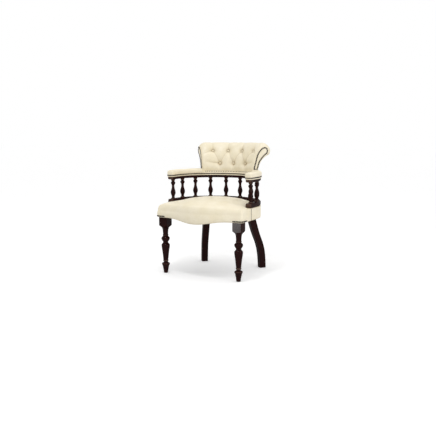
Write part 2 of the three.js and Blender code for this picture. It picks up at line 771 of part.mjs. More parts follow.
function makeSeat() {
  const straps = [-strapSpacing, 0, strapSpacing];
  straps.forEach((x, i) => piece(`webbing_long_${i + 1}`, longStrap(x), juteStrap));
  [-crossStrapFront, crossStrapBack].forEach(
    (y, i) => piece(`webbing_cross_${i + 1}`, crossStrap(y), juteStrap));

  const foamBottom = strapLevels[2] + strapThickness + fitGap;
  const screws = bothSides(railScrew(fitGap));
  const foamRings = seatTopRings(coverWall, leatherThickness + fitGap, innerShares).slice(1);
  const foamFoot = foamRings[0].map((corner) => corner.clone().setZ(foamBottom));
  const foam = loft([[vector(0, crownCentreY, foamBottom)], foamFoot, ...foamRings]);
  piece("seat_foam", cutAll(foam, screws), paleFoam);

  const foot = planRing(0, coverBottom, 1);
  const topRings = seatTopRings(0, 0, outerShares);
  const bulge = foot.map((corner, i) => {
    const point = seatPoint(i, -wallBulge * edgeBlend(corner.y));
    return vector(point.x, point.y, (corner.z + topRings[0][i].z) / 2);
  });
  const outer = loft([
    [vector(0, crownCentreY, coverBottom)], planRing(lipWidth, coverBottom, 1), foot, bulge,
    ...topRings,
  ]);
  const rise = lipThickness;
  const inner = loft([
    [vector(0, crownCentreY, coverBottom + rise)], planRing(lipWidth, coverBottom + rise, 1),
    planRing(coverWall, coverBottom + rise, 1),
    ...seatTopRings(coverWall, leatherThickness, innerShares),
  ]);
  const opening = planPlate(lipWidth, coverBottom - apronDip - cutOverrun, frameUnderside + cutOverrun);
  const cover = cutAll(outer, [
    inner, opening, ...bothSides(frontLegPost(fitGap)), ...bothSides(backLeg(fitGap)), ...screws]);
  const seamZ = crownBase - clampEdge;
  const reach = 2 * seatRadius;
  const bandZone = (grow) => box(-reach, reach, -seamDepth - grow, reach, 0, seamZ + grow);
  piece("seat_side_cover", cover.intersect(bandZone(0)), creamLeather);
  piece("seat_cover", cover.subtract(bandZone(fitGap)), creamLeather);

  const dustTop = frameUnderside - fitGap;
  const dustRing = (z) => range(seatCount).map((i) => {
    const front = Math.abs(i - seatHalfCount) <= frontSteps + cornerSteps;
    const point = seatPoint(i, front ? frameInnerInset + fitGap : dustInset);
    return vector(point.x, point.y, z);
  });
  const dust = loft([
    [vector(0, crownCentreY, dustTop - dustThickness)], dustRing(dustTop - dustThickness),
    dustRing(dustTop), [vector(0, crownCentreY, dustTop)],
  ]);
  piece("seat_dust_cover", cutAll(dust, [
    ...bothSides(frontLegPost(fitGap)), ...bothSides(backLeg(fitGap)), ...screws]), blackCloth);
}

// Arm pads
// The pad's outline above its skirt, as shares of its half width past the skirt and its height
const padShares = [
  [0, 0.08], [0.7, 0.2], [1, 0.4], [0.82, 0.62], [-0.5, 0.82], [-3.2, 0.94], [-7, 1],
];
const padTipShares = [1, 0.68, 0.42, 0.2, 0.06, 0];
const padTipRun = armRun + padOverhang;
const padTipRuns = padTipShares.map((share) => padTipRun - share * padTipReach);

function armPad() {
  const flank = padShares.map(([out, up]) => [skirtHalfWidth + out * padBulge, up * padHeight]);
  const section = [
    [skirtHalfWidth, -skirtDrop], ...flank, ...flank.map(([x, z]) => [-x, z]).reverse(),
    [-skirtHalfWidth, -skirtDrop],
  ];
  const start = backRun + facingThickness + 4 * fitGap;
  const runs = [...pathRuns(start, quarterRun), ...padTipRuns];
  const body = loft(runs.map((run) => {
    const fromTip = padTipRun - run;
    const widthShare = 1 - drawIn(padTipRadius, fromTip) / skirtHalfWidth;
    const drop = drawIn(padTipReach, fromTip) / padTipReach;
    return section.map(([x, z]) => onHorseshoe(
      run, x * widthShare, armRailTop + (z > 0 ? z * (1 - (drop * padTipDrop) / padHeight) : z)));
  }));
  const wood = railSegment(armRailBottom, jointRun, armRun, fitGap);
  return body.subtract(wood);
}

// Ledge in front of the back cushion, with its skirt over the inner face of the arm rail
function ledgePad() {
  const inner = -skirtHalfWidth;
  const wood = -railWidth / 2 - fitGap;
  const cushion = -backFootDepth - fitGap;
  const top = armRailTop + ledgeHeight;
  const section = [
    [wood, skirtBottom], [inner, skirtBottom], [inner, armRailTop + nailHalfWidth + fitGap],
    [inner - padBulge / 2, armRailTop + ledgeHeight / 2], [inner, top - padBulge],
    [inner + padBulge, top], [cushion, top], [cushion, armRailTop + fitGap],
    [wood, armRailTop + fitGap],
  ];
  const span = backRun + facingThickness;
  return loft(pathRuns(-span, span).map(
    (run) => section.map(([offset, z]) => onHorseshoe(run, offset, z))));
}

// Back
const backFoot = armRailTop + fitGap;
const backInner = horseshoeRadius - backFootDepth;

// Section of the back, as shares of its depth and height: up the front face and over the roll
const backFrontShares = [
  [0, 0], [0, 0.07], [-0.012, 0.185], [0.012, 0.343], [0.036, 0.432], [0.084, 0.556],
  [0.147, 0.664], [0.235, 0.778], [0.363, 0.891], [0.498, 0.965],
  [0.618, 1], [0.761, 0.983], [0.888, 0.926], [0.976, 0.847], [1, 0.768], [0.968, 0.694],
  [0.896, 0.64],
];
// Rear face of the back, from under the roll down to the arm rail
const backRearShares = [
  [0.817, 0.615], [0.705, 0.58], [0.546, 0.496], [0.418, 0.388], [0.3, 0.19],
];
const toSection = ([depth, height]) =>
  new THREE.Vector2(backInner + depth * backDepth, backFoot + height * backHeight);
const rearFoot = horseshoeRadius + skirtHalfWidth;

function backRear() {
  return [
    ...backRearShares.map(toSection),
    new THREE.Vector2(rearFoot, armRailTop + 2 * ledgeHeight), new THREE.Vector2(rearFoot, backFoot),
  ];
}

// Moves the points of an open or closed outline along their outward normals
function shiftOutline(points, amount, closed = true) {
  return points.map((point, i) => {
    const last = points.length - 1;
    const before = points[closed ? (i + last) % points.length : Math.max(i - 1, 0)];
    const after = points[closed ? (i + 1) % points.length : Math.min(i + 1, last)];
    const along = after.clone().sub(before).normalize();
    const distance = typeof amount === "function" ? amount(point) : amount;
    return new THREE.Vector2(point.x - along.y * distance, point.y + along.x * distance);
  });
}

const rollShare = (point) => Math.min(Math.max((point.y - backFoot) / backHeight, 0), 1);
const endRounding = (point) => smooth(rollShare(point), 0, 0.15) *
  (endRoundingFoot + (endRoundingRoll - endRoundingFoot) * rollShare(point));

// A point of the back at an angle round the horseshoe
const onBack = (theta, point) =>
  onHorseshoe(theta * horseshoeRadius, point.x - horseshoeRadius, point.y);

// Buttons: two rows, set in diamonds
const upperShare = [0.243, 0.785];
const lowerShare = [0.012, 0.343];
const buttonPlaces = [
  ...[-1.5, -0.5, 0.5, 1.5].map((pitches) => ({ theta: pitches * buttonPitch, share: upperShare })),
  ...[-1, 0, 1].map((pitches) => ({ theta: pitches * buttonPitch, share: lowerShare })),
];
const upperNormal = new THREE.Vector2(-0.82, 0.57).normalize();
const lowerNormal = new THREE.Vector2(-1, 0);

// How deep the leather is drawn in at a place by the buttons and their pleats
function tuft(theta, point) {
  const depths = buttonPlaces.map(({ theta: at, share }) => {
    const button = toSection(share);
    const across = (theta - at) * point.x;
    const distance = Math.hypot(across, point.distanceTo(button));
    const dimple = tuftDepth * Math.exp(-((distance / tuftRadius) ** 2));
    const upper = share === upperShare;
    const away = (upper ? point.y - button.y : button.y - point.y) / tuftRadius;
    const pleat = pleatDepth * Math.exp(-((across / pleatHalfWidth) ** 2)) * smooth(away, 0, 1);
    return dimple + pleat;
  });
  return depths.reduce((a, b) => a + b, 0);
}

// The back's outline at an angle, drawn in towards the end: its front with the roll, and its rear
function backOutline(theta) {
  const fromTip = (backSpan - Math.abs(theta)) * horseshoeRadius;
  const outline = [...backFrontShares.map(toSection), ...backRear()];
  const drawn = shiftOutline(outline, (point) => -drawIn(endRounding(point), fromTip));
  drawn[0].y = backFoot;
  drawn[drawn.length - 1].y = backFoot;
  return { front: drawn.slice(0, backFrontShares.length), rear: drawn.slice(backFrontShares.length) };
}

const endShares = [0, 0.07, 0.25, 0.55];
const endThetas = endShares.map((share) => backSpan - (share * endRoundingRoll) / horseshoeRadius);

// The angles at which the back is shaped: close at the ends, and even between them
function backThetas(perPitch) {
  const step = buttonPitch / perPitch;
  const wide = buttonPitch / pathStepsPerPitch;
  const reach = Math.floor((backSpan - endRoundingRoll / horseshoeRadius) / wide) * wide;
  const middle = steps(-reach, reach, Math.round((2 * reach) / step));
  return [...endThetas.map((theta) => -theta), ...middle, ...[...endThetas].reverse()];
}

function backCushion() {
  return loft(backThetas(tuftStepsPerPitch).map((theta) => {
    const { front, rear } = backOutline(theta);
    const soft = shiftOutline(front, (point) => -tuft(theta, point), false);
    const firm = shiftOutline(rear, -outerCoverThickness - fitGap, false);
    soft[0] = front[0];
    soft[soft.length - 1] = front[front.length - 1];
    firm[firm.length - 1].set(rearFoot - outerCoverThickness - fitGap, backFoot);
    return [...soft, ...firm].map((point) => onBack(theta, point));
  }));
}

function outerCover() {
  return loft(backThetas(pathStepsPerPitch).map((theta) => {
    const { rear } = backOutline(theta);
    const shown = [...rear, new THREE.Vector2(rearFoot, skirtBottom)];
    const hidden = shiftOutline(rear, -outerCoverThickness, false);
    hidden[hidden.length - 1].set(rearFoot - outerCoverThickness, backFoot);
    hidden.push(new THREE.Vector2(rearFoot - outerCoverThickness, skirtBottom));
    return [...hidden, ...shown.reverse()].map((point) => onBack(theta, point));
  }));
}

// Board inside the back, leaning with it, let into a slot that is open below
const boardShares = [[0.08, 0], [0.08, 0.17], [0.16, 0.36], [0.29, 0.53]];
const boardTopShare = boardShares.at(-1)[1];

function backBoard(grow) {
  const front = boardShares.map(([depth, height]) => new THREE.Vector2(
    backInner + depth * backDepth - grow, armRailTop + (height / boardTopShare) * (boardHeight + grow)));
  front[0].y -= overrun(grow);
  const section = [...front, ...front.map((point) => new THREE.Vector2(
    point.x + boardThickness + 2 * grow, point.y)).reverse()];
  const span = backSpan - (boardEndMargin - grow) / horseshoeRadius;
  return loft(pathRuns(-span * horseshoeRadius, span * horseshoeRadius).map(
    (run) => section.map((point) => onBack(run / horseshoeRadius, point))));
}

// Facing: the teardrop that closes each end of the back, and the nail line round it
const teardropShares = [
  [0.044, 0.178], [0.06, 0.272], [0.116, 0.386], [0.168, 0.516], [0.222, 0.63], [0.32, 0.743],
  [0.458, 0.835], [0.602, 0.875], [0.717, 0.85], [0.761, 0.776], [0.72, 0.709], [0.578, 0.63],
  [0.437, 0.531], [0.339, 0.45], [0.27, 0.352], [0.227, 0.253], [0.187, 0.188],
];

// A point of the plane at the right end of the back, with a distance out of that plane
function onFacing(point, out) {
  return onBack(backSpan, point)
    .addScaledVector(vector(Math.cos(backSpan), -Math.sin(backSpan), 0), out);
}

function facing() {
  const teardrop = shiftOutline(teardropShares.map(toSection), facingMargin);
  const outline = [
    ...teardrop.slice(1), new THREE.Vector2(teardrop.at(-1).x, backFoot + fitGap),
    new THREE.Vector2(teardrop[0].x, backFoot + fitGap),
  ];
  return loft([fitGap, fitGap + facingThickness].map(
    (out) => outline.map((point) => onFacing(point, out))));
}

// A nail line: a low ridge along a path of points that each have an outward and a sideways direction
function nailLine(path, looped) {
  return loft(path.map(({ at, out, side }) => [
    at.clone().addScaledVector(side, -nailHalfWidth), at.clone().addScaledVector(side, nailHalfWidth),
    at.clone().addScaledVector(out, nailHeight),
  ]), looped);
}

function facingNails() {
  const loop = teardropShares.map(toSection);
  const inner = shiftOutline(loop, -nailHalfWidth);
  const out = vector(Math.cos(backSpan), -Math.sin(backSpan), 0);
  return nailLine(loop.map((point, i) => ({
    at: onFacing(point, facingThickness + 2 * fitGap), out,
    side: onFacing(point, 0).sub(onFacing(inner[i], 0)).normalize(),
  })), true);
}

function armNails() {
  const tip = padTipRuns.map((run) => [run, skirtHalfWidth - drawIn(padTipRadius, padTipRun - run)]);
  const arc = pathRuns(0, quarterRun).map((run) => [run, skirtHalfWidth]);
  const half = [...arc, ...tip, ...tip.map(([run, offset]) => [run, -offset]).reverse(),
    ...arc.map(([run, offset]) => [run, -offset]).reverse()];
  const right = half.map(([run, offset]) => onHorseshoe(run, offset, armRailTop));
  const left = right.slice(1, -1).reverse().map((corner) => vector(-corner.x, corner.y, corner.z));
  const skirt = [...right, ...left].map((corner) => new THREE.Vector2(corner.x, corner.y));
  const up = vector(0, 0, 1);
  const inner = shiftOutline(skirt, fitGap);
  const outer = shiftOutline(skirt, 2 * fitGap);
  return nailLine(inner.map((point, i) => ({
    at: vector(point.x, point.y, armRailTop), side: up,
    out: vector(outer[i].x - point.x, outer[i].y - point.y, 0).normalize(),
  })), true);
}

function backNails() {
  const z = armRailTop + ledgeHeight + nailHalfWidth + fitGap;
  const span = backRun - endRoundingRoll;
  const offset = -backFootDepth - 3 * fitGap - nailHeight / 4;
  return nailLine(pathRuns(-span, span).map((run) => ({
    at: onHorseshoe(run, offset - fitGap, z), side: vector(0, 0, 1),
    out: onHorseshoe(run, -nailHeight, z).sub(onHorseshoe(run, 0, z)).normalize(),
  })), false);
}

// Domed head of a button, as shares of its radius and height
const buttonShares = [[0.92, 0.45], [0.6, 0.85], [0, 1]];

function button({ theta, share }, grow) {
  const place = toSection(share);
  const normal = share === upperShare ? upperNormal : lowerNormal;
  const depth = tuftDepth - fitGap;
  const base = place.clone().addScaledVector(normal, -depth);
  const back = base.clone().addScaledVector(normal, -buttonShankLength - grow);
  const [from, to] = [back, base].map((point) => onBack(theta, point));
  const shank = buttonShankLength + grow;
  const head = grow > 0
    ? [[buttonRadius + grow, shank + tuftDepth], [0, shank + tuftDepth]]
    : buttonShares.map(([r, h]) => [r * buttonRadius, shank + h * buttonHeight]);
  const profile = [
    [0, 0], [buttonShankRadius + grow, 0], [buttonShankRadius + grow, shank - grow],
    [buttonRadius + grow, shank - grow], ...head,
  ];
  return turned(profile, boltSides, from, to);
}

function makeUpperPart() {
  makeRail("base_rail", baseRailBottom, [
    ...tenonHoles(baseRailTop, -1), ...bothSides(railScrew(fitGap))]);
  spindleRuns.forEach((run, i) =>
    piece(`spindle_${String(i + 1).padStart(2, "0")}`, spindle(run), darkMahogany));
  makeRail("arm_rail", armRailBottom, tenonHoles(armRailBottom, 1));

  piece("arm_pad_right", armPad(), creamLeather);
  piece("arm_pad_left", mirrorX(armPad()), creamLeather);
  piece("back_ledge_pad", ledgePad(), creamLeather);

  const pockets = buttonPlaces.map((place) => button(place, fitGap));
  piece("back_cushion", cutAll(backCushion(), [backBoard(fitGap), ...pockets]), creamLeather);
  piece("back_board", cutAll(backBoard(0), pockets), birchPly);
  piece("back_outer_cover", outerCover(), creamLeather);
  piece("back_facing_right", facing(), creamLeather);
  piece("back_facing_left", mirrorX(facing()), creamLeather);
  buttonPlaces.forEach((place, i) => piece(`back_button_${i + 1}`, button(place, 0), creamLeather));

  piece("facing_nails_right", facingNails(), antiqueNail);
  piece("facing_nails_left", mirrorX(facingNails()), antiqueNail);
  piece("arm_nails", armNails(), antiqueNail);
  piece("back_nails", backNails(), antiqueNail);
}

makeLegs();
makeFrame();
makeSeat();
makeUpperPart();

// The origin lies on the floor under the middle of the chair.
const bounds = new THREE.Box3().setFromObject(chair);
chair.position.set(0, -(bounds.min.y + bounds.max.y) / 2, 0);

export default chair;
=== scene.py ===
"""A captains chair in cream leather and dark mahogany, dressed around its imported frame.

Metres, +Z up, the sitter faces -Y. Left is -X and right is +X, as seen from the front.
"""

import json
import logging
import math
from collections.abc import Callable, Iterator, Mapping, Sequence
from contextlib import contextmanager
from dataclasses import dataclass
from enum import Enum
from functools import cached_property

import bpy
import numpy as np
from mathutils import Matrix, Vector

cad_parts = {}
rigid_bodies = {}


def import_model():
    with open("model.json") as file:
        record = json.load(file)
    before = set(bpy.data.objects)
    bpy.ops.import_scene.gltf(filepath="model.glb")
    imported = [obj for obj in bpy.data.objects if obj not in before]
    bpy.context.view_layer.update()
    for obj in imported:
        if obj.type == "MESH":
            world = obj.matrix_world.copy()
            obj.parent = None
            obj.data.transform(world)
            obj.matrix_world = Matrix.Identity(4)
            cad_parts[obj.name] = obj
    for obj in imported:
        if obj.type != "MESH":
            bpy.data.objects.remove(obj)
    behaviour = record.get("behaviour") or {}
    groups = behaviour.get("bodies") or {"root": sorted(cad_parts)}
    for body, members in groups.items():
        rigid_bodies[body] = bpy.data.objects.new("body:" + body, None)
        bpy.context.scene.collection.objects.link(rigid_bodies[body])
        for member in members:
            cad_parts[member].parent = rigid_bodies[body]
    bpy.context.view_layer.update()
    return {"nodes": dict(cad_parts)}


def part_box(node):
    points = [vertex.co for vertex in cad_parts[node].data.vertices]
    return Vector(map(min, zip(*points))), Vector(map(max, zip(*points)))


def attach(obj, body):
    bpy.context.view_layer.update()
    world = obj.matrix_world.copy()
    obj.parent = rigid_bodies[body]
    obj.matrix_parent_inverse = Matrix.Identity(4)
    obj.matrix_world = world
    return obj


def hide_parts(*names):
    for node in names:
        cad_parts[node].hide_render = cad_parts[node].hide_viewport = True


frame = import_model()

LOG = logging.getLogger("captains_chair")
BODY = "root"

# Doubled points closer than this are merged
WELD = 1e-5
# Pieces that would touch are this far apart
CLEARANCE = 0.0003
# Points worked out between two given points of a smooth line
CURVE_STEPS = 24
# How far the grain is shifted from one wooden piece to the next
GRAIN_SHIFT = 0.37
# How sharply a crest bends, per metre, where its wear and painted highlight begin and where they are
# whole
RUB_AND_HIGHLIGHT_BEND = (80.0, 220.0)

Points = np.ndarray
Piece = bpy.types.Object


class Side(Enum):
    """The two sides of the chair, by the sign of X."""

    LEFT = -1
    RIGHT = 1

    @property
    def word(self) -> str:
        """The side's name as the nodes spell it."""
        return self.name.lower()

    @property
    def mirror(self) -> Matrix:
        """What brings a right-hand shape to this side."""
        return Matrix.Diagonal((self.value, 1, 1, 1))


# Lines and shares


def smooth_line(points: Sequence[Sequence[float]], count: int, closed: bool = False) -> Points:
    """Evenly spaced points on a smooth line through a few given ones.

    Args:
        points: The given points, in any number of coordinates.
        count: How many points the line gets.
        closed: Whether the line returns to its start.

    Returns:
        An array with one row for each point.
    """
    given = np.array(points, float)
    if closed:
        ends = [given[-1], *given, given[0], given[1]]
    else:
        ends = [2 * given[0] - given[1], *given, 2 * given[-1] - given[-2]]
    share = np.linspace(0, 1, CURVE_STEPS, endpoint=False)[:, None]
    spans = []
    for before, start, end, after in zip(ends, ends[1:], ends[2:], ends[3:]):
        spans.append(0.5 * (
            2 * start + (end - before) * share
            + (2 * before - 5 * start + 4 * end - after) * share ** 2
            + (3 * start - before - 3 * end + after) * share ** 3))
    return even_line(np.vstack([*spans, ends[-2][None]]), count)


def even_line(line: Points, count: int) -> Points:
    """The same line with evenly spaced points.

    Args:
        line: The line's points.
        count: How many points it gets.

    Returns:
        The new points.
    """
    along = lengths_along(line)
    places = np.linspace(0, along[-1], count)
    return np.column_stack([np.interp(places, along, column) for column in line.T])


def lengths_along(line: Points) -> Points:
    """How far each point of a line is from its start, along the line."""
    steps = np.linalg.norm(np.diff(line, axis=0), axis=1)
    return np.concatenate([[0.0], np.cumsum(steps)])


def smooth_step(value: Points, low: float, high: float) -> Points:
    """A share that eases from 0 at low to 1 at high."""
    share = np.clip((value - low) / (high - low), 0, 1)
    return share * share * (3 - 2 * share)


def draw_in(radius: Points, from_tip: Points) -> Points:
    """How far a rounded end has drawn in, at a distance from its tip."""
    short = np.clip(radius - from_tip, 0, radius)
    return radius - np.sqrt(np.clip(radius ** 2 - short ** 2, 0, None))


def facing_out(spot: Sequence[float], out: Sequence[float]) -> Matrix:
    """What brings a shape that faces +Z to a spot, facing outwards."""
    return Matrix.Translation(spot) @ Vector(out).to_track_quat("Z", "Y").to_matrix().to_4x4()


# Modelling by hand


class Bench:
    """The steps of modelling by hand, each with the Blender operators."""

    @staticmethod
    def clear() -> None:
        """Leaves edit mode and selects nothing."""
        if bpy.context.mode != "OBJECT":
            bpy.ops.object.mode_set(mode="OBJECT")
        bpy.ops.object.select_all(action="DESELECT")

    @staticmethod
    def named(name: str) -> Piece:
        """The object that was just added, under its own name."""
        piece = bpy.context.active_object
        piece.name = piece.data.name = name
        return piece

    @staticmethod
    def take(piece: Piece) -> None:
        """Selects one piece alone and makes it the active one."""
        Bench.clear()
        piece.select_set(True)
        bpy.context.view_layer.objects.active = piece

    @staticmethod
    @contextmanager
    def editing(piece: Piece, mode: str = "VERT") -> Iterator[None]:
        """Edit mode on one piece, with all of it selected.

        Args:
            piece: The piece.
            mode: What a selection is made of, VERT or FACE.
        """
        Bench.take(piece)
        bpy.ops.object.mode_set(mode="EDIT")
        bpy.ops.mesh.select_mode(type=mode)
        bpy.ops.mesh.select_all(action="SELECT")
        yield
        bpy.ops.object.mode_set(mode="OBJECT")

    @staticmethod
    @contextmanager
    def editing_faces(piece: Piece, chosen: Callable[[bpy.types.MeshPolygon], bool]) -> Iterator[None]:
        """Edit mode on one piece, with only some of its faces selected.

        Args:
            piece: The piece.
            chosen: Says of a face whether it is selected.
        """
        with Bench.editing(piece, "FACE"):
            bpy.ops.mesh.select_all(action="DESELECT")
        for face in piece.data.polygons:
            face.select = chosen(face)
        bpy.ops.object.mode_set(mode="EDIT")
        yield
        bpy.ops.object.mode_set(mode="OBJECT")

    @staticmethod
    def extrude(*shift: float) -> None:
        """Extrudes the selected faces along X, Y and Z."""
        bpy.ops.mesh.extrude_region_move(TRANSFORM_OT_translate={"value": shift})

    @staticmethod
    def round_corners(radius: float, segments: int) -> None:
        """Rounds the selected corners of a flat face."""
        bpy.ops.mesh.bevel(affect="VERTICES", offset=radius, offset_type="OFFSET", segments=segments)

    @staticmethod
    def spin(centre_y: float, angle: float, steps: int) -> None:
        """Spins the selected face round an upright axis."""
        bpy.ops.mesh.spin(steps=steps, angle=angle, center=(0, centre_y, 0), axis=(0, 0, 1))

    @staticmethod
    def place(piece: Piece, matrix: Matrix) -> Piece:
        """Puts a piece in its place and applies the place to its mesh.

        Args:
            piece: The piece.
            matrix: What moves it from where it is.

        Returns:
            The same piece.
        """
        Bench.take(piece)
        piece.matrix_world = matrix @ piece.matrix_world
        bpy.ops.object.transform_apply(location=True, rotation=True, scale=True)
        return piece

    @staticmethod
    def modify(piece: Piece, kind: str, **settings: object) -> None:
        """Adds a modifier with its settings and applies it.

        Args:
            piece: The piece.
            kind: The modifier's type.
            settings: Its settings by name.
        """
        Bench.take(piece)
        modifier = piece.modifiers.new(kind.title(), kind)
        for name, value in settings.items():
            setattr(modifier, name, value)
        bpy.ops.object.modifier_apply(modifier=modifier.name)

    @staticmethod
    def smooth(piece: Piece, degrees: float = 40) -> Piece:
        """Shades a piece smooth, with edges where its faces turn by more than an angle."""
        Bench.take(piece)
        bpy.ops.object.shade_smooth_by_angle(angle=math.radians(degrees))
        return piece

    @staticmethod
    def true_faces(piece: Piece) -> Piece:
        """Keeps a smooth piece's large flat faces flat to the light, right up to their edges."""
        Bench.modify(piece, "WEIGHTED_NORMAL", mode="FACE_AREA", weight=50, keep_sharp=True)
        return piece

    @staticmethod
    def outwards(piece: Piece) -> Piece:
        """Merges doubled points and turns the faces outwards.

        Args:
            piece: The piece.

        Returns:
            The same piece.
        """
        with Bench.editing(piece):
            bpy.ops.mesh.remove_doubles(threshold=WELD)
            bpy.ops.mesh.select_all(action="SELECT")
            bpy.ops.mesh.normals_make_consistent(inside=False)
        return piece

    @staticmethod
    def points_of(piece: Piece) -> Points:
        """The places of a piece's vertices, one row each."""
        flat = np.empty(3 * len(piece.data.vertices))
        piece.data.vertices.foreach_get("co", flat)
        return flat.reshape(-1, 3)

    @staticmethod
    def move_points(piece: Piece, points: Points) -> None:
        """Gives each vertex of a piece a new place."""
        piece.data.vertices.foreach_set("co", np.ascontiguousarray(points, float).ravel())
        piece.data.update()

    @staticmethod
    def mark(piece: Piece, name: str, values: Points) -> None:
        """Keeps a number or a vector for each vertex, for a material to read.

        Args:
            piece: The piece.
            name: What they are kept as.
            values: One row for each vertex.
        """
        if name in piece.data.attributes:
            piece.data.attributes.remove(piece.data.attributes[name])
        kind, key = ("FLOAT", "value") if values.ndim == 1 else ("FLOAT_VECTOR", "vector")
        layer = piece.data.attributes.new(name, kind, "POINT")
        layer.data.foreach_set(key, np.ascontiguousarray(values, np.float32).ravel())

    @staticmethod
    def marked(piece: Piece, name: str) -> Points:
        """The number kept for each vertex."""
        values = np.empty(len(piece.data.vertices), np.float32)
        piece.data.attributes[name].data.foreach_get("value", values)
        return values

    @staticmethod
    def skin(name: str, rows: Points, marks: Mapping[str, Points] | None = None,
             capped: bool = False) -> Piece:
        """A grid laid on rows of points, with its doubled points merged.

        Args:
            name: The piece's name.
            rows: Points as rows along the piece, each with the points across it.
            marks: Numbers to keep for the points, laid out as rows is.
            capped: Whether its open ends are closed with faces.

        Returns:
            The new piece, with its faces pointing outwards.
        """
        along, across = rows.shape[:2]
        Bench.clear()
        bpy.ops.mesh.primitive_grid_add(x_subdivisions=across - 1, y_subdivisions=along - 1, size=1)
        piece = Bench.named(name)
        flat = Bench.points_of(piece)
        column = np.rint((flat[:, 0] + 0.5) * (across - 1)).astype(int)
        row = np.rint((flat[:, 1] + 0.5) * (along - 1)).astype(int)
        Bench.move_points(piece, rows[row, column])
        for mark, values in (marks or {}).items():
            Bench.mark(piece, mark, values[row, column])
        Bench.outwards(piece)
        if capped:
            with Bench.editing(piece):
                bpy.ops.mesh.select_all(action="DESELECT")
                bpy.ops.mesh.select_non_manifold()
                bpy.ops.mesh.fill_holes(sides=0)
            Bench.outwards(piece)
        return piece

    @staticmethod
    def plane(name: str, size: float = 1.0) -> Piece:
        """A square about the origin, facing +Z."""
        Bench.clear()
        bpy.ops.mesh.primitive_plane_add(size=size)
        return Bench.named(name)

    @staticmethod
    def disc(name: str, radius: float, sides: int, height: float = 0.0) -> Piece:
        """A flat round face about the Z axis.

        Args:
            name: The piece's name.
            radius: The disc's radius.
            sides: How many sides it has.
            height: How high it lies.

        Returns:
            The disc.
        """
        Bench.clear()
        bpy.ops.mesh.primitive_circle_add(
            vertices=sides, radius=radius, fill_type="NGON", location=(0, 0, height))
        return Bench.place(Bench.named(name), Matrix())

    @staticmethod
    def pull(shift: Sequence[float], ratio: Sequence[float], centre: Sequence[float]) -> None:
        """Extrudes the selected face by a shift, and resizes it about a centre."""
        bpy.ops.mesh.extrude_region_move(TRANSFORM_OT_translate={"value": tuple(shift)})
        bpy.ops.transform.resize(value=tuple(ratio), center_override=tuple(centre))

    @staticmethod
    def turned(name: str, profile: Points, sides: int) -> Piece:
        """A solid turned on the Z axis: a disc is extruded and resized up its profile.

        Args:
            name: The piece's name.
            profile: Rows of radius and height, from the foot up.
            sides: Faces round the axis.

        Returns:
            The new piece, standing at the origin.
        """
        piece = Bench.disc(name, profile[0][0], sides, profile[0][1])
        with Bench.editing(piece):
            for (last, low), (radius, high) in zip(profile, profile[1:]):
                Bench.pull((0, 0, high - low), (radius / last, radius / last, 1), (0, 0, high))
        return Bench.outwards(piece)

    @staticmethod
    def copy(piece: Piece, name: str, matrix: Matrix) -> Piece:
        """A copy with its own mesh; a mirrored one keeps its faces outwards.

        Args:
            piece: What is copied.
            name: The copy's name.
            matrix: What moves the copy.

        Returns:
            The copy.
        """
        Bench.take(piece)
        bpy.ops.object.duplicate(linked=False)
        twin = Bench.named(name)
        twin.data.transform(matrix)
        if matrix.determinant() < 0:
            twin.data.flip_normals()
        return twin

    @staticmethod
    def drop(*pieces: Piece) -> None:
        """Removes pieces that were only templates or cutters."""
        for piece in pieces:
            bpy.data.objects.remove(piece, do_unlink=True)

    @staticmethod
    def cut(piece: Piece, *cutters: Piece, operation: str = "DIFFERENCE") -> None:
        """Cuts a piece with others, which are then removed."""
        for cutter in cutters:
            Bench.modify(piece, "BOOLEAN", object=cutter, operation=operation, solver="EXACT")
        Bench.drop(*cutters)

    @staticmethod
    def joined(name: str, template: Piece, places: Sequence[Matrix]) -> Piece:
        """One piece made of many copies of a small template; a mirrored copy keeps its faces out.

        Args:
            name: The new piece's name.
            template: What is repeated; it is left as it is.
            places: One matrix for each copy.

        Returns:
            The new piece.
        """
        points = np.column_stack([Bench.points_of(template), np.ones(len(template.data.vertices))])
        faces = [tuple(face.vertices) for face in template.data.polygons]
        rows = [(points @ np.array(place).T)[:, :3] for place in places]
        repeated = []
        for number, place in enumerate(places):
            way = 1 if place.determinant() > 0 else -1
            repeated += [tuple(i + len(points) * number for i in face[::way]) for face in faces]
        mesh = bpy.data.meshes.new(name)
        mesh.from_pydata(np.vstack(rows).tolist(), [], repeated)
        mesh.update()
        piece = bpy.data.objects.new(name, mesh)
        bpy.context.scene.collection.objects.link(piece)
        return Bench.smooth(piece, degrees=60)


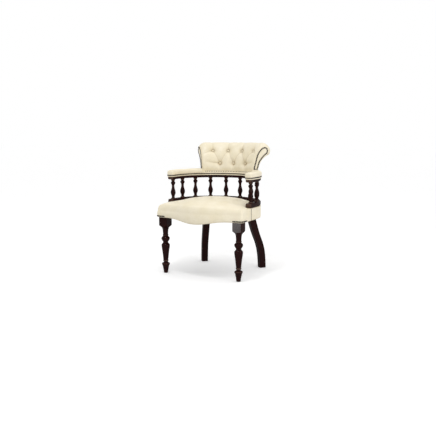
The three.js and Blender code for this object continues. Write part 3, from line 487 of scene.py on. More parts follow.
@dataclass(frozen=True)
class Swelling:
    """A short cloth simulation that fills a padded piece, with a limit on how far it may move."""

    pressure: float = 4.0
    most: float = 0.003
    frames: int = 16
    quality: int = 5
    mass: float = 0.3
    tension: float = 25.0
    bending: float = 1.5

    def swell(self, piece: Piece) -> None:
        """Args:
            piece: The piece; its mark named held is 1 where it is held fast and 0 where it is free.
        """
        held = np.clip(Bench.marked(piece, "held"), 0, 1)
        piece.data.attributes.remove(piece.data.attributes["held"])
        rest = Bench.points_of(piece)
        Bench.take(piece)
        group = piece.vertex_groups.new(name="held")
        tenths = np.round(held, 1)
        for weight in np.unique(tenths):
            group.add(np.flatnonzero(tenths == weight).tolist(), float(weight), "REPLACE")
        cloth = piece.modifiers.new("Swell", "CLOTH")
        for name, value in (
                ("quality", self.quality), ("mass", self.mass), ("tension_stiffness", self.tension),
                ("compression_stiffness", self.tension), ("bending_stiffness", self.bending),
                ("use_pressure", True), ("uniform_pressure_force", self.pressure),
                ("vertex_group_mass", group.name)):
            setattr(cloth.settings, name, value)
        cloth.settings.effector_weights.gravity = 0
        cloth.collision_settings.use_collision = False
        cloth.point_cache.frame_start = 1
        cloth.point_cache.frame_end = self.frames
        for frame_number in range(1, self.frames + 1):
            bpy.context.scene.frame_set(frame_number)
        bpy.ops.object.modifier_apply(modifier=cloth.name)
        bpy.context.scene.frame_set(1)
        piece.vertex_groups.clear()
        moved = Bench.points_of(piece) - rest
        length = np.maximum(np.linalg.norm(moved, axis=1, keepdims=True), WELD)
        limit = self.most * np.tanh(length / self.most) / length
        Bench.move_points(piece, rest + moved * limit * (1 - held[:, None]))


# Finishes


class Value:
    """A number or colour from a socket, on which sums are written as expressions."""

    def __init__(self, graph: "Graph", socket: bpy.types.NodeSocket) -> None:
        """Keeps the socket and the graph that it belongs to."""
        self.graph = graph
        self.socket = socket

    def _sum(self, operation: str, first: "Value | float", second: "Value | float") -> "Value":
        """A Math node on two numbers."""
        return self.graph.node("ShaderNodeMath", {"operation": operation}, {0: first, 1: second})

    def __add__(self, other: "Value | float") -> "Value":
        """The sum."""
        return self._sum("ADD", self, other)

    def __sub__(self, other: "Value | float") -> "Value":
        """The difference."""
        return self._sum("SUBTRACT", self, other)

    def __rsub__(self, other: float) -> "Value":
        """The difference from a plain number."""
        return self._sum("SUBTRACT", other, self)

    def __mul__(self, other: "Value | float") -> "Value":
        """The product."""
        return self._sum("MULTIPLY", self, other)

    __radd__ = __add__
    __rmul__ = __mul__

    def at_least(self, other: "Value | float") -> "Value":
        """The larger of two numbers."""
        return self._sum("MAXIMUM", self, other)

    def ramp(self, low: float, high: float) -> "Value":
        """0 up to a low number and 1 from a high one, with an eased way between them."""
        return self.graph.node(
            "ShaderNodeMapRange", {"interpolation_type": "SMOOTHSTEP"},
            {"Value": self, "From Min": low, "From Max": high})


class Graph:
    """The node tree of one material or of the world, with its shader."""

    def __init__(self, owner: bpy.types.Material | bpy.types.World) -> None:
        """Empties the owner's tree and gives it a shader and an output.

        Args:
            owner: The new material or world.
        """
        owner.use_nodes = True
        self.owner = owner
        self.tree = owner.node_tree
        self.tree.nodes.clear()
        kinds = ("BsdfPrincipled", "OutputMaterial")
        if isinstance(owner, bpy.types.World):
            kinds = ("Background", "OutputWorld")
        self.shader, self.output = (self.tree.nodes.new(f"ShaderNode{kind}") for kind in kinds)
        self.put(self.output.inputs["Surface"], self.surface)

    @cached_property
    def place(self) -> Value:
        """A point's place on its piece."""
        return self.node("ShaderNodeTexCoord", {}, {}, "Object")

    @property
    def surface(self) -> Value:
        """What the shader gives."""
        return Value(self, self.shader.outputs[0])

    def put(self, socket: bpy.types.NodeSocket, value: object) -> None:
        """Links a value to a socket, or sets the socket to it.

        Args:
            socket: The socket.
            value: A value of this graph, or a number, vector or colour.
        """
        if isinstance(value, Value):
            self.tree.links.new(value.socket, socket)
        elif isinstance(value, tuple) and socket.type == "RGBA":
            socket.default_value = (*value[:3], 1.0)
        else:
            socket.default_value = value

    def node(self, kind: str, settings: Mapping[str, object], inputs: Mapping[object, object],
             output: object = 0) -> Value:
        """A node with its settings and the values or links of its sockets.

        Args:
            kind: The node's type.
            settings: The node's own properties.
            inputs: What each socket, by name or number, is linked to or set to.
            output: The socket to go on from.

        Returns:
            The value at that output.
        """
        made = self.tree.nodes.new(kind)
        for name, value in settings.items():
            setattr(made, name, value)
        for name, value in inputs.items():
            self.put(made.inputs[name], value)
        return Value(self, made.outputs[output])

    def attribute(self, name: str, output: str = "Fac") -> Value:
        """What a piece keeps for each of its points under a name."""
        return self.node("ShaderNodeAttribute", {"attribute_name": name}, {}, output)

    def noise(self, scale: float, detail: float = 3.0, place: Value | None = None,
              roughness: float = 0.5) -> Value:
        """Cloudy noise from 0 to 1; scale counts its patches in a metre."""
        return self.node("ShaderNodeTexNoise", {}, {
            "Vector": place or self.place, "Scale": scale, "Detail": detail, "Roughness": roughness})

    def cells(self, scale: float) -> Value:
        """Distance to the middle of scattered cells; scale counts them in a metre."""
        return self.node("ShaderNodeTexVoronoi", {}, {"Vector": self.place, "Scale": scale}, "Distance")

    def stretched(self, ratio: Sequence[float], place: Value | None = None) -> Value:
        """Coordinates that are resized, for a pattern that is longer one way."""
        return self.node("ShaderNodeMapping", {}, {
            "Vector": place or self.place, "Scale": tuple(ratio)})

    def mix(self, share: Value | float, first: object, second: object) -> Value:
        """A colour that goes from the first to the second as the share goes from 0 to 1."""
        return self.node("ShaderNodeMix", {"data_type": "RGBA"}, {0: share, 6: first, 7: second}, 2)

    def bump(self, height: Value, depth: float, strength: float = 1.0) -> Value:
        """A bump of a height from 0 to 1, this many metres deep."""
        return self.node("ShaderNodeBump", {}, {
            "Height": height, "Distance": depth, "Strength": strength}, "Normal")

    def finish(self, **sockets: object) -> bpy.types.Material | bpy.types.World:
        """Sets the shader's sockets, whose names are written with underscores for spaces."""
        for name, value in sockets.items():
            self.put(self.shader.inputs[name.replace("_", " ")], value)
        return self.owner


def new_graph(name: str) -> Graph:
    """The graph of a new material."""
    return Graph(bpy.data.materials.new(name))


def colour(code: int) -> tuple[float, float, float]:
    """A linear colour from its sRGB code."""
    parts = [(code >> shift & 255) / 255 for shift in (16, 8, 0)]
    return tuple(p / 12.92 if p <= 0.04045 else ((p + 0.055) / 1.055) ** 2.4 for p in parts)


@dataclass(frozen=True)
class Leather:
    """Smooth upholstery leather: fine pebbles and pores, soft mottling, and painted shade in its folds.
    """

    light: int = 0xF8EED5
    mottled: int = 0xF3E8CB
    # the colour of the painted shade in folds, recesses and tucked edges
    crease: int = 0xA8926A
    pebbles: float = 620.0
    roughness: float = 0.42

    def material(self) -> bpy.types.Material:
        """The leather's nodes; the crease mark paints shade into the folds, under the rail and round
        the buttons, and darkens the seams.

        Returns:
            The material.
        """
        graph = new_graph("cream_leather")
        crease = colour(self.crease)
        cloud = graph.noise(14.0, 4.0).ramp(0.35, 0.7)
        fine = graph.noise(90.0, 4.0)
        hide = graph.mix(cloud, colour(self.light), colour(self.mottled))
        hide = graph.mix(fine.ramp(0.5, 0.85) * 0.12, hide, crease)
        # painted shade: the crease mark darkens the leather in its folds, at its tucked edges and round
        # the buttons
        hide = graph.mix(graph.attribute("crease") * 0.75, hide, crease)
        wander = graph.noise(260.0, 2.0)
        pebble = graph.cells(self.pebbles)
        pores = graph.noise(2400.0, 2.0)
        height = pebble * 0.8 + wander * 0.9 + pores * 0.25
        return graph.finish(
            Base_Color=hide,
            Roughness=self.roughness + 0.1 * fine - 0.06 * pebble,
            Normal=graph.bump(height, 0.00022, 0.7),
            Coat_Weight=0.12, Coat_Roughness=0.3, Specular_IOR_Level=0.42)


@dataclass(frozen=True)
class Mahogany:
    """Near-black mahogany with a red depth, under a polished lacquer; its crests and rail ends are
    lightened, partly as wear and partly as a painted highlight.
    """

    dark: int = 0x1E0605
    red: int = 0x330C08
    # the lighter colour of rubbed crests and rail ends, which also stands for a painted highlight
    wear_and_highlight: int = 0x634D42
    roughness: float = 0.14

    def material(self) -> bpy.types.Material:
        """The wood's nodes; the mark named grain runs along each piece in its first number.

        Returns:
            The material.
        """
        graph = new_graph("dark_mahogany")
        run = graph.attribute("grain", "Vector")
        streak = graph.noise(1.0, 5.0, graph.stretched((5.0, 90.0, 90.0), run), 0.6)
        pores = graph.noise(1.0, 2.0, graph.stretched((60.0, 1500.0, 1500.0), run))
        body = graph.mix(streak.ramp(0.4, 0.78), colour(self.dark), colour(self.red))
        # lighter crests and rail ends: partly wear, partly a painted highlight
        rub_and_highlight = graph.noise(70.0, 3.0).ramp(0.2, 0.55) * graph.attribute("wear_and_highlight")
        body = graph.mix(rub_and_highlight * 0.9, body, colour(self.wear_and_highlight))
        return graph.finish(
            Base_Color=body,
            Roughness=self.roughness + 0.1 * streak + 0.12 * rub_and_highlight,
            Normal=graph.bump(pores, 0.00005, 0.35),
            Coat_Weight=0.15, Coat_Roughness=0.12, Coat_IOR=1.5, Specular_IOR_Level=0.0)


@dataclass(frozen=True)
class Metal:
    """A metal with a stained and lightly beaten face."""

    name: str
    bright: int
    stained: int
    roughness: float
    patches: float = 420.0

    def material(self) -> bpy.types.Material:
        """The metal's nodes.

        Returns:
            The material.
        """
        graph = new_graph(self.name)
        stain = graph.noise(self.patches, 4.0)
        return graph.finish(
            Base_Color=graph.mix(stain.ramp(0.35, 0.7), colour(self.bright), colour(self.stained)),
            Metallic=0.92,
            Roughness=self.roughness + 0.25 * stain,
            Normal=graph.bump(stain, 0.0001, 0.4))


@dataclass(frozen=True)
class PlainWood:
    """Unfinished wood inside the chair, with its grain along the X axis."""

    name: str
    light: int
    dark: int
    bands: float

    def material(self) -> bpy.types.Material:
        """The wood's nodes.

        Returns:
            The material.
        """
        graph = new_graph(self.name)
        grain = graph.noise(1.0, 5.0, graph.stretched((9.0, self.bands, self.bands)))
        return graph.finish(
            Base_Color=graph.mix(grain.ramp(0.35, 0.7), colour(self.light), colour(self.dark)),
            Roughness=0.62 + 0.12 * grain,
            Normal=graph.bump(grain, 0.0002, 0.5))


@dataclass(frozen=True)
class Foam:
    """Open upholstery foam, with painted shade in its pores."""

    name: str = "pale_foam"
    pale: int = 0xE9DFB4
    deep: int = 0xC9BB88

    def material(self) -> bpy.types.Material:
        """The foam's nodes.

        Returns:
            The material.
        """
        graph = new_graph(self.name)
        pores = graph.cells(900.0)
        return graph.finish(
            # the pores are painted darker, as shade
            Base_Color=graph.mix(pores.ramp(0.1, 0.6), colour(self.deep), colour(self.pale)),
            Roughness=0.9 + 0.08 * pores, Normal=graph.bump(pores, 0.0006))


@dataclass(frozen=True)
class Weave:
    """A plain weave of crossing threads, for the straps and the cloth under the seat."""

    name: str
    thread: int
    shadow: int
    threads: float

    def material(self) -> bpy.types.Material:
        """The weave's nodes.

        Returns:
            The material.
        """
        graph = new_graph(self.name)
        bands = [
            graph.node("ShaderNodeTexWave", {"bands_direction": axis}, {
                "Vector": graph.place, "Scale": self.threads, "Distortion": 0.6, "Detail": 1.0}, "Fac")
            for axis in "XY"]
        cloth = bands[0].at_least(bands[1])
        fuzz = graph.noise(700.0, 3.0)
        return graph.finish(
            Base_Color=graph.mix(cloth * 0.7 + fuzz * 0.3, colour(self.shadow), colour(self.thread)),
            Roughness=0.82 + 0.1 * fuzz, Normal=graph.bump(cloth, 0.0004))


class Finish(Enum):
    """The finishes of the chair, by the record's material slots."""

    CREAM_LEATHER = Leather()
    DARK_MAHOGANY = Mahogany()
    ANTIQUE_NAIL = Metal("antique_nail", 0x2A2221, 0x120D0D, 0.2)
    ZINC_STEEL = Metal("zinc_steel", 0xB9BCC0, 0x8A8C90, 0.25)
    BEECH = PlainWood("beech", 0xCFA670, 0xB0834E, 60.0)
    BIRCH_PLY = PlainWood("birch_ply", 0xDCBD8C, 0xBF9B66, 120.0)
    PALE_FOAM = Foam()
    JUTE_STRAP = Weave("jute_strap", 0xB8935C, 0x7A5C34, 130.0)
    BLACK_CLOTH = Weave("black_cloth", 0x26262A, 0x0C0C0E, 220.0)

    @property
    def slot(self) -> str:
        """The slot's name in the record."""
        return self.name.lower()


class Wardrobe:
    """Makes each finish once and gives it to pieces."""

    def __init__(self) -> None:
        """Makes every finish's material."""
        self.materials = {finish: finish.value.material() for finish in Finish}

    def dress(self, piece: Piece, finish: Finish, node: str | None = None,
              fill: float | None = None) -> None:
        """Gives a new piece its finish, its slot and its body, and logs it.

        Args:
            piece: The new piece.
            finish: Its finish.
            node: The node that it stands for.
            fill: Not used.
        """
        if node is not None:
            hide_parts(node)
        piece.data.materials.clear()
        piece.data.materials.append(self.materials[finish])
        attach(piece, BODY)
        LOG.info("%s: %d faces, %s", piece.name, len(piece.data.polygons), finish.slot)

    def dress_pair(self, model: Piece, stem: str, finish: Finish, fill: float | None = None) -> None:
        """Copies a right-hand model to both sides, dresses the copies and drops the model.

        Args:
            model: The right-hand piece.
            stem: The name of the two nodes without their side.
            finish: The finish of both; wood also keeps its flat faces flat to the light.
            fill: How full they are, for padded pieces.
        """
        wooden = finish is Finish.DARK_MAHOGANY
        for side in Side:
            node = f"{stem}_{side.word}"
            piece = Bench.copy(model, f"{node}_{'wood' if wooden else 'leather'}", side.mirror)
            if wooden:
                Bench.true_faces(piece)
            self.dress(piece, finish, node, fill)
        Bench.drop(model)

    def dress_node(self, node: str, finish: Finish) -> None:
        """Gives a node of the frame its finish in the object's own slots.

        Args:
            node: The node's name.
            finish: Its finish.
        """
        piece = frame["nodes"][node]
        for place in piece.material_slots:
            place.link = "OBJECT"
            place.material = self.materials[finish]
        LOG.info("%s keeps its solid, %s", node, finish.slot)


# The line of the horseshoe and the wooden pieces


@dataclass(frozen=True)
class Horseshoe:
    """The line that both rails, the spindles, the arm pads and the back follow."""

    centre: float
    radius: float = 0.281
    arm: float = 0.079
    width: float = 0.041
    height: float = 0.028

    @classmethod
    def of_frame(cls) -> "Horseshoe":
        """The horseshoe, centred where the frame's rails are."""
        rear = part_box("base_rail_back")[1].y
        return cls(rear - cls.radius - cls.width / 2)

    @property
    def quarter(self) -> float:
        """The run from the middle of the back to where the arms go straight."""
        return self.radius * math.pi / 2

    @property
    def tip(self) -> float:
        """The run from the middle of the back to the tip of an arm."""
        return self.quarter + self.arm

    def at(self, run: Points | float, offset: Points | float, height: Points | float) -> Points:
        """Points beside or over the line.

        Args:
            run: How far they are from the middle of the back, along the line; positive to the right.
            offset: How far out from the line.
            height: How high over the floor.

        Returns:
            The points, in the shape of the three arrays together.
        """
        run, offset, height = np.broadcast_arrays(run, offset, height)
        turn = np.clip(run / self.radius, -math.pi / 2, math.pi / 2)
        beyond = np.clip(np.abs(run) - self.quarter, 0, None)
        reach = self.radius + offset
        return np.stack([
            reach * np.sin(turn), self.centre + reach * np.cos(turn) - beyond, height], axis=-1)

    def turn_to(self, turn: float) -> Matrix:
        """What brings a shape that faces +Y at the middle of the back round to an angle."""
        return Matrix.Translation((0, self.centre, 0)) @ Matrix.Rotation(-turn, 4, "Z")


def grain_along(piece: Piece, along: Points, rub_and_highlight_to: float = 0.0) -> None:
    """Marks a wooden piece with its grain, and a turned one with lighter crests, partly worn and partly
    a painted highlight.

    Args:
        piece: The wooden piece.
        along: For each vertex how far along the grain it lies.
        rub_and_highlight_to: The height up to which its crests are lightened, by wear and a painted
            highlight.
    """
    points = Bench.points_of(piece)
    grain = [along + GRAIN_SHIFT * len(bpy.data.objects), points[:, 0] + points[:, 1], points[:, 2]]
    Bench.mark(piece, "grain", np.column_stack(grain))
    crest = np.zeros(len(points))
    normals = np.empty(3 * len(points))
    piece.data.vertices.foreach_get("normal", normals)
    normals = normals.reshape(-1, 3)
    edges = np.empty(2 * len(piece.data.edges), int)
    piece.data.edges.foreach_get("vertices", edges)
    first, second = edges.reshape(-1, 2).T
    way = points[second] - points[first]
    curve = np.einsum("ij,ij->i", normals[second] - normals[first], way)
    curve = curve / np.maximum(np.einsum("ij,ij->i", way, way), 1e-12)
    np.maximum.at(crest, first, curve)
    np.maximum.at(crest, second, curve)
    # lighter crests where the profile bends sharply: wear and a painted highlight
    Bench.mark(piece, "wear_and_highlight", smooth_step(crest, *RUB_AND_HIGHLIGHT_BEND) * (points[:, 2] < rub_and_highlight_to))


def crisp_profile(runs: Sequence[Sequence[tuple[float, float]]], height: float, radius: float,
                  step: float) -> Points:
    """A turned profile of smooth runs that meet in crisp edges.

    Args:
        runs: Each run's points, as shares of the height and the radius.
        height: The turned height.
        radius: The largest radius.
        step: How far apart its points are at the most.

    Returns:
        Rows of radius and height, from the foot up.
    """
    rows = []
    for run in runs:
        line = np.array([(r * radius, h * height) for h, r in run])
        count = max(3, int(lengths_along(line)[-1] / step) + 1)
        rows.append(smooth_line(line, count))
    return np.vstack(rows)


@dataclass
class Rails:
    """The two bent rails, each in three segments with a hairline joint between them."""

    shape: Horseshoe
    wardrobe: Wardrobe
    edge: float = 0.008
    edge_segments: int = 5
    tip_radius: float = 0.008
    tip_steps: tuple = (1, 0.75, 0.5, 0.3, 0.15, 0.05, 0.0)
    tip_wear_and_highlight: float = 0.75
    joint_turn: float = 0.76868
    joint_gap: float = 0.0003
    steps: int = 44

    def section(self, name: str, grow: float) -> Piece:
        """The rail's rounded section, lying at the origin.

        Args:
            name: The piece's name.
            grow: How much larger than the wood it is.

        Returns:
            The section, one flat face.
        """
        piece = Bench.plane(name)
        with Bench.editing(piece):
            bpy.ops.transform.resize(
                value=(self.shape.height + 2 * grow, self.shape.width + 2 * grow, 1))
            Bench.round_corners(self.edge, self.edge_segments)
        return piece

    def segment(self, name: str, bottom: float, side: Side | None, grow: float = 0.0) -> Piece:
        """One segment of a rail: its section is spun round, and an arm is extruded from it.

        Args:
            name: The segment's name.
            bottom: The height of the rail's underside.
            side: The arm's side, or none for the back segment.
            grow: How much larger than the wood it is, for a cutter.

        Returns:
            The new segment.
        """
        middle = bottom + self.shape.height / 2
        start, end = -self.joint_turn, self.joint_turn
        if side is not None:
            start, end = self.joint_turn + self.joint_gap / self.shape.radius, math.pi / 2
        upright = Matrix.Rotation(math.pi / 2, 4, "Y")
        piece = self.section(name, grow)
        out = Matrix.Translation((0, self.shape.radius, middle))
        Bench.place(piece, self.shape.turn_to(start) @ out @ upright)
        with Bench.editing(piece, "FACE"):
            Bench.spin(self.shape.centre, end - start, self.steps)
            if side is not None:
                self._arm(middle, grow)
        Bench.outwards(piece)
        if side is Side.LEFT:
            twin = Bench.copy(piece, name, side.mirror)
            Bench.drop(piece)
            twin.name = name
            piece = twin
        points = Bench.points_of(piece)
        turn = np.arctan2(points[:, 0], points[:, 1] - self.shape.centre)
        grain_along(piece, turn * self.shape.radius)
        from_tip = points[:, 1] - self.shape.centre + self.shape.arm
        # the rail ends are lightened: their wear and a painted highlight
        Bench.mark(piece, "wear_and_highlight", self.tip_wear_and_highlight * (1 - smooth_step(from_tip, 0, self.tip_radius)))
        return Bench.true_faces(Bench.smooth(piece, degrees=50))

    def _arm(self, middle: float, grow: float) -> None:
        """Extrudes the straight arm from the selected end, and rounds its tip.

        Args:
            middle: The height of the rail's middle.
            grow: How much larger than the wood it is.
        """
        reach = self.shape.arm + grow
        half_width = self.shape.width / 2 + grow
        half_height = self.shape.height / 2 + grow
        last_y, last_wide, last_high = 0.0, half_width, half_height
        for station in reach - self.tip_radius * np.array(self.tip_steps):
            drawn = float(draw_in(self.tip_radius, reach - station))
            wide, high = half_width - drawn, half_height - drawn
            y = self.shape.centre - station
            Bench.pull((0, last_y - station, 0), (wide / last_wide, 1, high / last_high),
                       (self.shape.radius, y, middle))
            last_y, last_wide, last_high = station, wide, high

    def build(self) -> None:
        """Both rails, each in place of its nodes."""
        for rail in ("base_rail", "arm_rail"):
            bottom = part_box(f"{rail}_back")[0].z
            for word, side in (("back", None), ("left", Side.LEFT), ("right", Side.RIGHT)):
                piece = self.segment(f"{rail}_{word}_wood", bottom, side)
                self.wardrobe.dress(piece, Finish.DARK_MAHOGANY, f"{rail}_{word}")


@dataclass
class Spindles:
    """Ten turned spindles between the rails, one model copied round the horseshoe."""

    shape: Horseshoe
    wardrobe: Wardrobe
    count: int = 10
    pitch: float = 0.108
    radius: float = 0.0165
    tenon_radius: float = 0.0075
    tenon_length: float = 0.012
    sides: int = 28
    profile_step: float = 0.0016
    grain_turn: float = 1.7
    runs: tuple = (
        ((0, 0.83), (0.008, 0.9), (0.02, 0.92), (0.032, 0.88), (0.04, 0.77)),
        ((0.045, 0.69), (0.06, 0.605), (0.08, 0.575), (0.105, 0.585)),
        ((0.112, 0.6), (0.15, 0.64), (0.19, 0.745), (0.235, 0.87), (0.28, 0.965), (0.32, 1),
         (0.365, 0.965), (0.41, 0.885), (0.46, 0.77), (0.52, 0.64), (0.58, 0.55), (0.64, 0.515),
         (0.69, 0.54), (0.73, 0.6)),
        ((0.738, 0.65), (0.765, 0.79), (0.79, 0.87), (0.82, 0.895), (0.85, 0.84), (0.875, 0.7),
         (0.888, 0.585)),
        ((0.895, 0.565), (0.91, 0.575), (0.928, 0.64)),
        ((0.932, 0.71), (0.95, 0.785), (0.97, 0.8), (0.988, 0.785), (1, 0.74)),
    )

    def model(self) -> Piece:
        """One spindle with its tenons, standing at the origin on its shoulder.

        Returns:
            The spindle.
        """
        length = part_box("arm_rail_back")[0].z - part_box("base_rail_back")[1].z
        body = crisp_profile(self.runs, length, self.radius, self.profile_step)
        foot = [(self.tenon_radius, -self.tenon_length), (self.tenon_radius, 0)]
        head = [(self.tenon_radius, length), (self.tenon_radius, length + self.tenon_length)]
        piece = Bench.turned("spindle_model", np.vstack([foot, body, head]), self.sides)
        grain_along(piece, Bench.points_of(piece)[:, 2], length)
        return Bench.smooth(piece, degrees=38)

    def build(self) -> None:
        """All ten, numbered from the left tip round to the right one."""
        model = self.model()
        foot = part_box("base_rail_back")[1].z
        for number in range(self.count):
            run = (number - (self.count - 1) / 2) * self.pitch
            turned = Matrix.Rotation(self.grain_turn * number, 4, "Z")
            place = Matrix.Translation(self.shape.at(run, 0, foot)) @ turned
            node = f"spindle_{number + 1:02d}"
            self.wardrobe.dress(Bench.copy(model, f"{node}_wood", place), Finish.DARK_MAHOGANY, node)
        Bench.drop(model)


@dataclass
class FrontLegs:
    """Two turned front legs, each with a square block whose lower corners are turned in."""

    wardrobe: Wardrobe
    block: float = 0.06
    block_edge: float = 0.0022
    turned_height: float = 0.304
    turned_radius: float = 0.027
    sides: int = 56
    profile_step: float = 0.0018
    shoulder_radius: float = 0.046
    shoulder_rise: float = 0.004
    stock_foot: float = 0.01
    # share of the turned height whose crests are lightened: wear and a painted highlight
    rubbed: float = 0.9
    post_inset: float = 0.0028
    post_margin: float = 0.0005
    runs: tuple = (
        ((0, 0.4), (0.004, 0.465), (0.014, 0.505), (0.05, 0.565), (0.086, 0.63), (0.13, 0.72),
         (0.163, 0.79)),
        ((0.166, 0.82), (0.176, 0.905), (0.19, 0.955), (0.203, 0.95), (0.215, 0.86), (0.222, 0.72)),
        ((0.225, 0.6), (0.234, 0.53), (0.246, 0.52), (0.254, 0.56)),
        ((0.256, 0.6), (0.262, 0.65), (0.27, 0.668), (0.277, 0.64), (0.282, 0.59)),
        ((0.284, 0.575), (0.32, 0.628), (0.355, 0.675), (0.444, 0.778), (0.533, 0.925), (0.575, 0.985),
         (0.6, 1.0), (0.62, 0.94), (0.635, 0.81), (0.647, 0.67)),
        ((0.65, 0.63), (0.665, 0.615), (0.68, 0.63)),
        ((0.683, 0.68), (0.701, 0.815), (0.722, 0.945), (0.742, 1.0), (0.762, 0.97), (0.779, 0.83),
         (0.788, 0.67)),
        ((0.791, 0.63), (0.8, 0.645), (0.812, 0.685), (0.824, 0.665), (0.829, 0.63)),
        ((0.832, 0.615), (0.87, 0.63), (0.91, 0.66), (0.938, 0.7), (0.962, 0.775), (0.98, 0.88),
         (0.992, 1.0), (1.006, 1.2), (1.022, 1.43), (1.035, 1.62)),
    )

    def model(self) -> Piece:
        """The right leg, at its place.

        Returns:
            The leg.
        """
        low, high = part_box("front_leg_right")
        middle = Vector((high.x - self.block / 2, low.y + self.block / 2, 0))
        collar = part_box("seat_side_cover")[0].z - CLEARANCE
        profile = crisp_profile(self.runs, self.turned_height, self.turned_radius, self.profile_step)
        shoulder = profile[-1][1] + self.shoulder_rise
        crown = [(self.shoulder_radius, shoulder), (self.shoulder_radius, collar)]
        leg = Bench.turned("front_leg_model", np.vstack([profile, crown]), self.sides)
        Bench.cut(leg, self._square(collar), operation="INTERSECT")
        Bench.place(leg, Matrix.Translation(middle))
        self._post(leg, collar, high.z)
        grain_along(leg, Bench.points_of(leg)[:, 2], self.rubbed * self.turned_height)
        return Bench.smooth(leg, degrees=35)

    def _square(self, collar: float) -> Piece:
        """The square stock that the leg is turned from, with rounded edges.

        Args:
            collar: The height of its top.

        Returns:
            The stock, with its foot just under the floor.
        """
        square = Bench.plane("leg_stock", self.block)
        Bench.place(square, Matrix.Translation((0, 0, -self.stock_foot)))
        with Bench.editing(square):
            Bench.round_corners(self.block_edge, 3)
            bpy.ops.mesh.select_all(action="SELECT")
            Bench.extrude(0, 0, collar + self.stock_foot)
        return Bench.outwards(square)

    def _post(self, leg: Piece, collar: float, top: float) -> None:
        """Draws the head of the block up into the seat, a little slimmer than the block.

        Args:
            leg: The leg up to its collar.
            collar: The height of the collar.
            top: The height of the post.
        """
        level = collar - self.post_margin
        with Bench.editing_faces(leg, lambda face: face.center.z > level and face.normal.z > 0.9):
            bpy.ops.mesh.inset(thickness=self.post_inset)
            Bench.extrude(0, 0, top - collar)

    def build(self) -> None:
        """Both legs, the left one mirrored."""
        self.wardrobe.dress_pair(self.model(), "front_leg", Finish.DARK_MAHOGANY)


@dataclass
class BackLegs:
    """Two sabre legs, square in section, whose heads lap the inside of the seat frame."""

    shape: Horseshoe
    wardrobe: Wardrobe
    turn: float = math.radians(39.3)
    foot_size: float = 0.042
    head_size: float = 0.047
    edge: float = 0.004
    splay: float = 0.091
    head_radius: float = 0.259
    frame_foot: float = 0.372
    rail_inner: float = 0.2683
    rail_room: tuple = (0.1, 0.06)
    rail_turn: float = 0.3
    rail_steps: int = 40
    steps: int = 44
    shares: tuple = (
        (0, 0), (0.08, 0.012), (0.16, 0.033), (0.25, 0.07), (0.34, 0.13), (0.42, 0.215),
        (0.48, 0.297), (0.56, 0.43), (0.65, 0.571), (0.74, 0.69), (0.82, 0.79), (0.91, 0.9), (1, 1),
    )

    def model(self) -> Piece:
        """The right leg, at its place: a bevelled square is extruded up the sabre's line.

        Returns:
            The leg.
        """
        leg = Bench.plane("back_leg_model", self.foot_size)
        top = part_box("back_leg_right")[1].z
        with Bench.editing(leg):
            Bench.round_corners(self.edge, 4)
            bpy.ops.mesh.select_all(action="SELECT")
            last_height, last_in, last_size = 0.0, 0.0, self.foot_size
            for height, inward in smooth_line(self.shares, self.steps)[1:]:
                size = self.foot_size + (self.head_size - self.foot_size) * height
                rise = (height - last_height) * self.frame_foot
                shift = -(inward - last_in) * self.splay
                Bench.pull((0, shift, rise), (size / last_size, size / last_size, 1),
                           (0, -inward * self.splay, height * self.frame_foot))
                last_height, last_in, last_size = height, inward, size
            Bench.extrude(0, 0, top - self.frame_foot)
        Bench.outwards(leg)
        Bench.place(leg, self.stand(Side.RIGHT, self.head_radius + self.splay))
        self._lap(leg)
        grain_along(leg, Bench.points_of(leg)[:, 2])
        return Bench.smooth(leg, degrees=35)

    def stand(self, side: Side, radius: float, height: float = 0.0) -> Matrix:
        """What turns a shape to the leg of one side, and brings it out to a radius."""
        return self.shape.turn_to(side.value * self.turn) @ Matrix.Translation((0, radius, height))

    def _lap(self, leg: Piece) -> None:
        """Cuts the rabbet that the round back rail of the seat frame lies in.

        Args:
            leg: The leg at its place.
        """
        room_height, room_depth = self.rail_room
        ring = Bench.plane("rail_cutter")
        with Bench.editing(ring):
            bpy.ops.transform.resize(value=(room_height, room_depth, 1))
        middle = self.frame_foot - CLEARANCE + room_height / 2
        out = Matrix.Translation((0, self.rail_inner + room_depth / 2, middle))
        upright = Matrix.Rotation(math.pi / 2, 4, "Y")
        Bench.place(ring, self.shape.turn_to(self.turn - self.rail_turn) @ out @ upright)
        with Bench.editing(ring, "FACE"):
            Bench.spin(self.shape.centre, 2 * self.rail_turn, self.rail_steps)
        Bench.outwards(ring)
        Bench.cut(leg, ring)

    def build(self) -> None:
        """Both legs, the left one mirrored."""
        self.wardrobe.dress_pair(self.model(), "back_leg", Finish.DARK_MAHOGANY)


# The seat


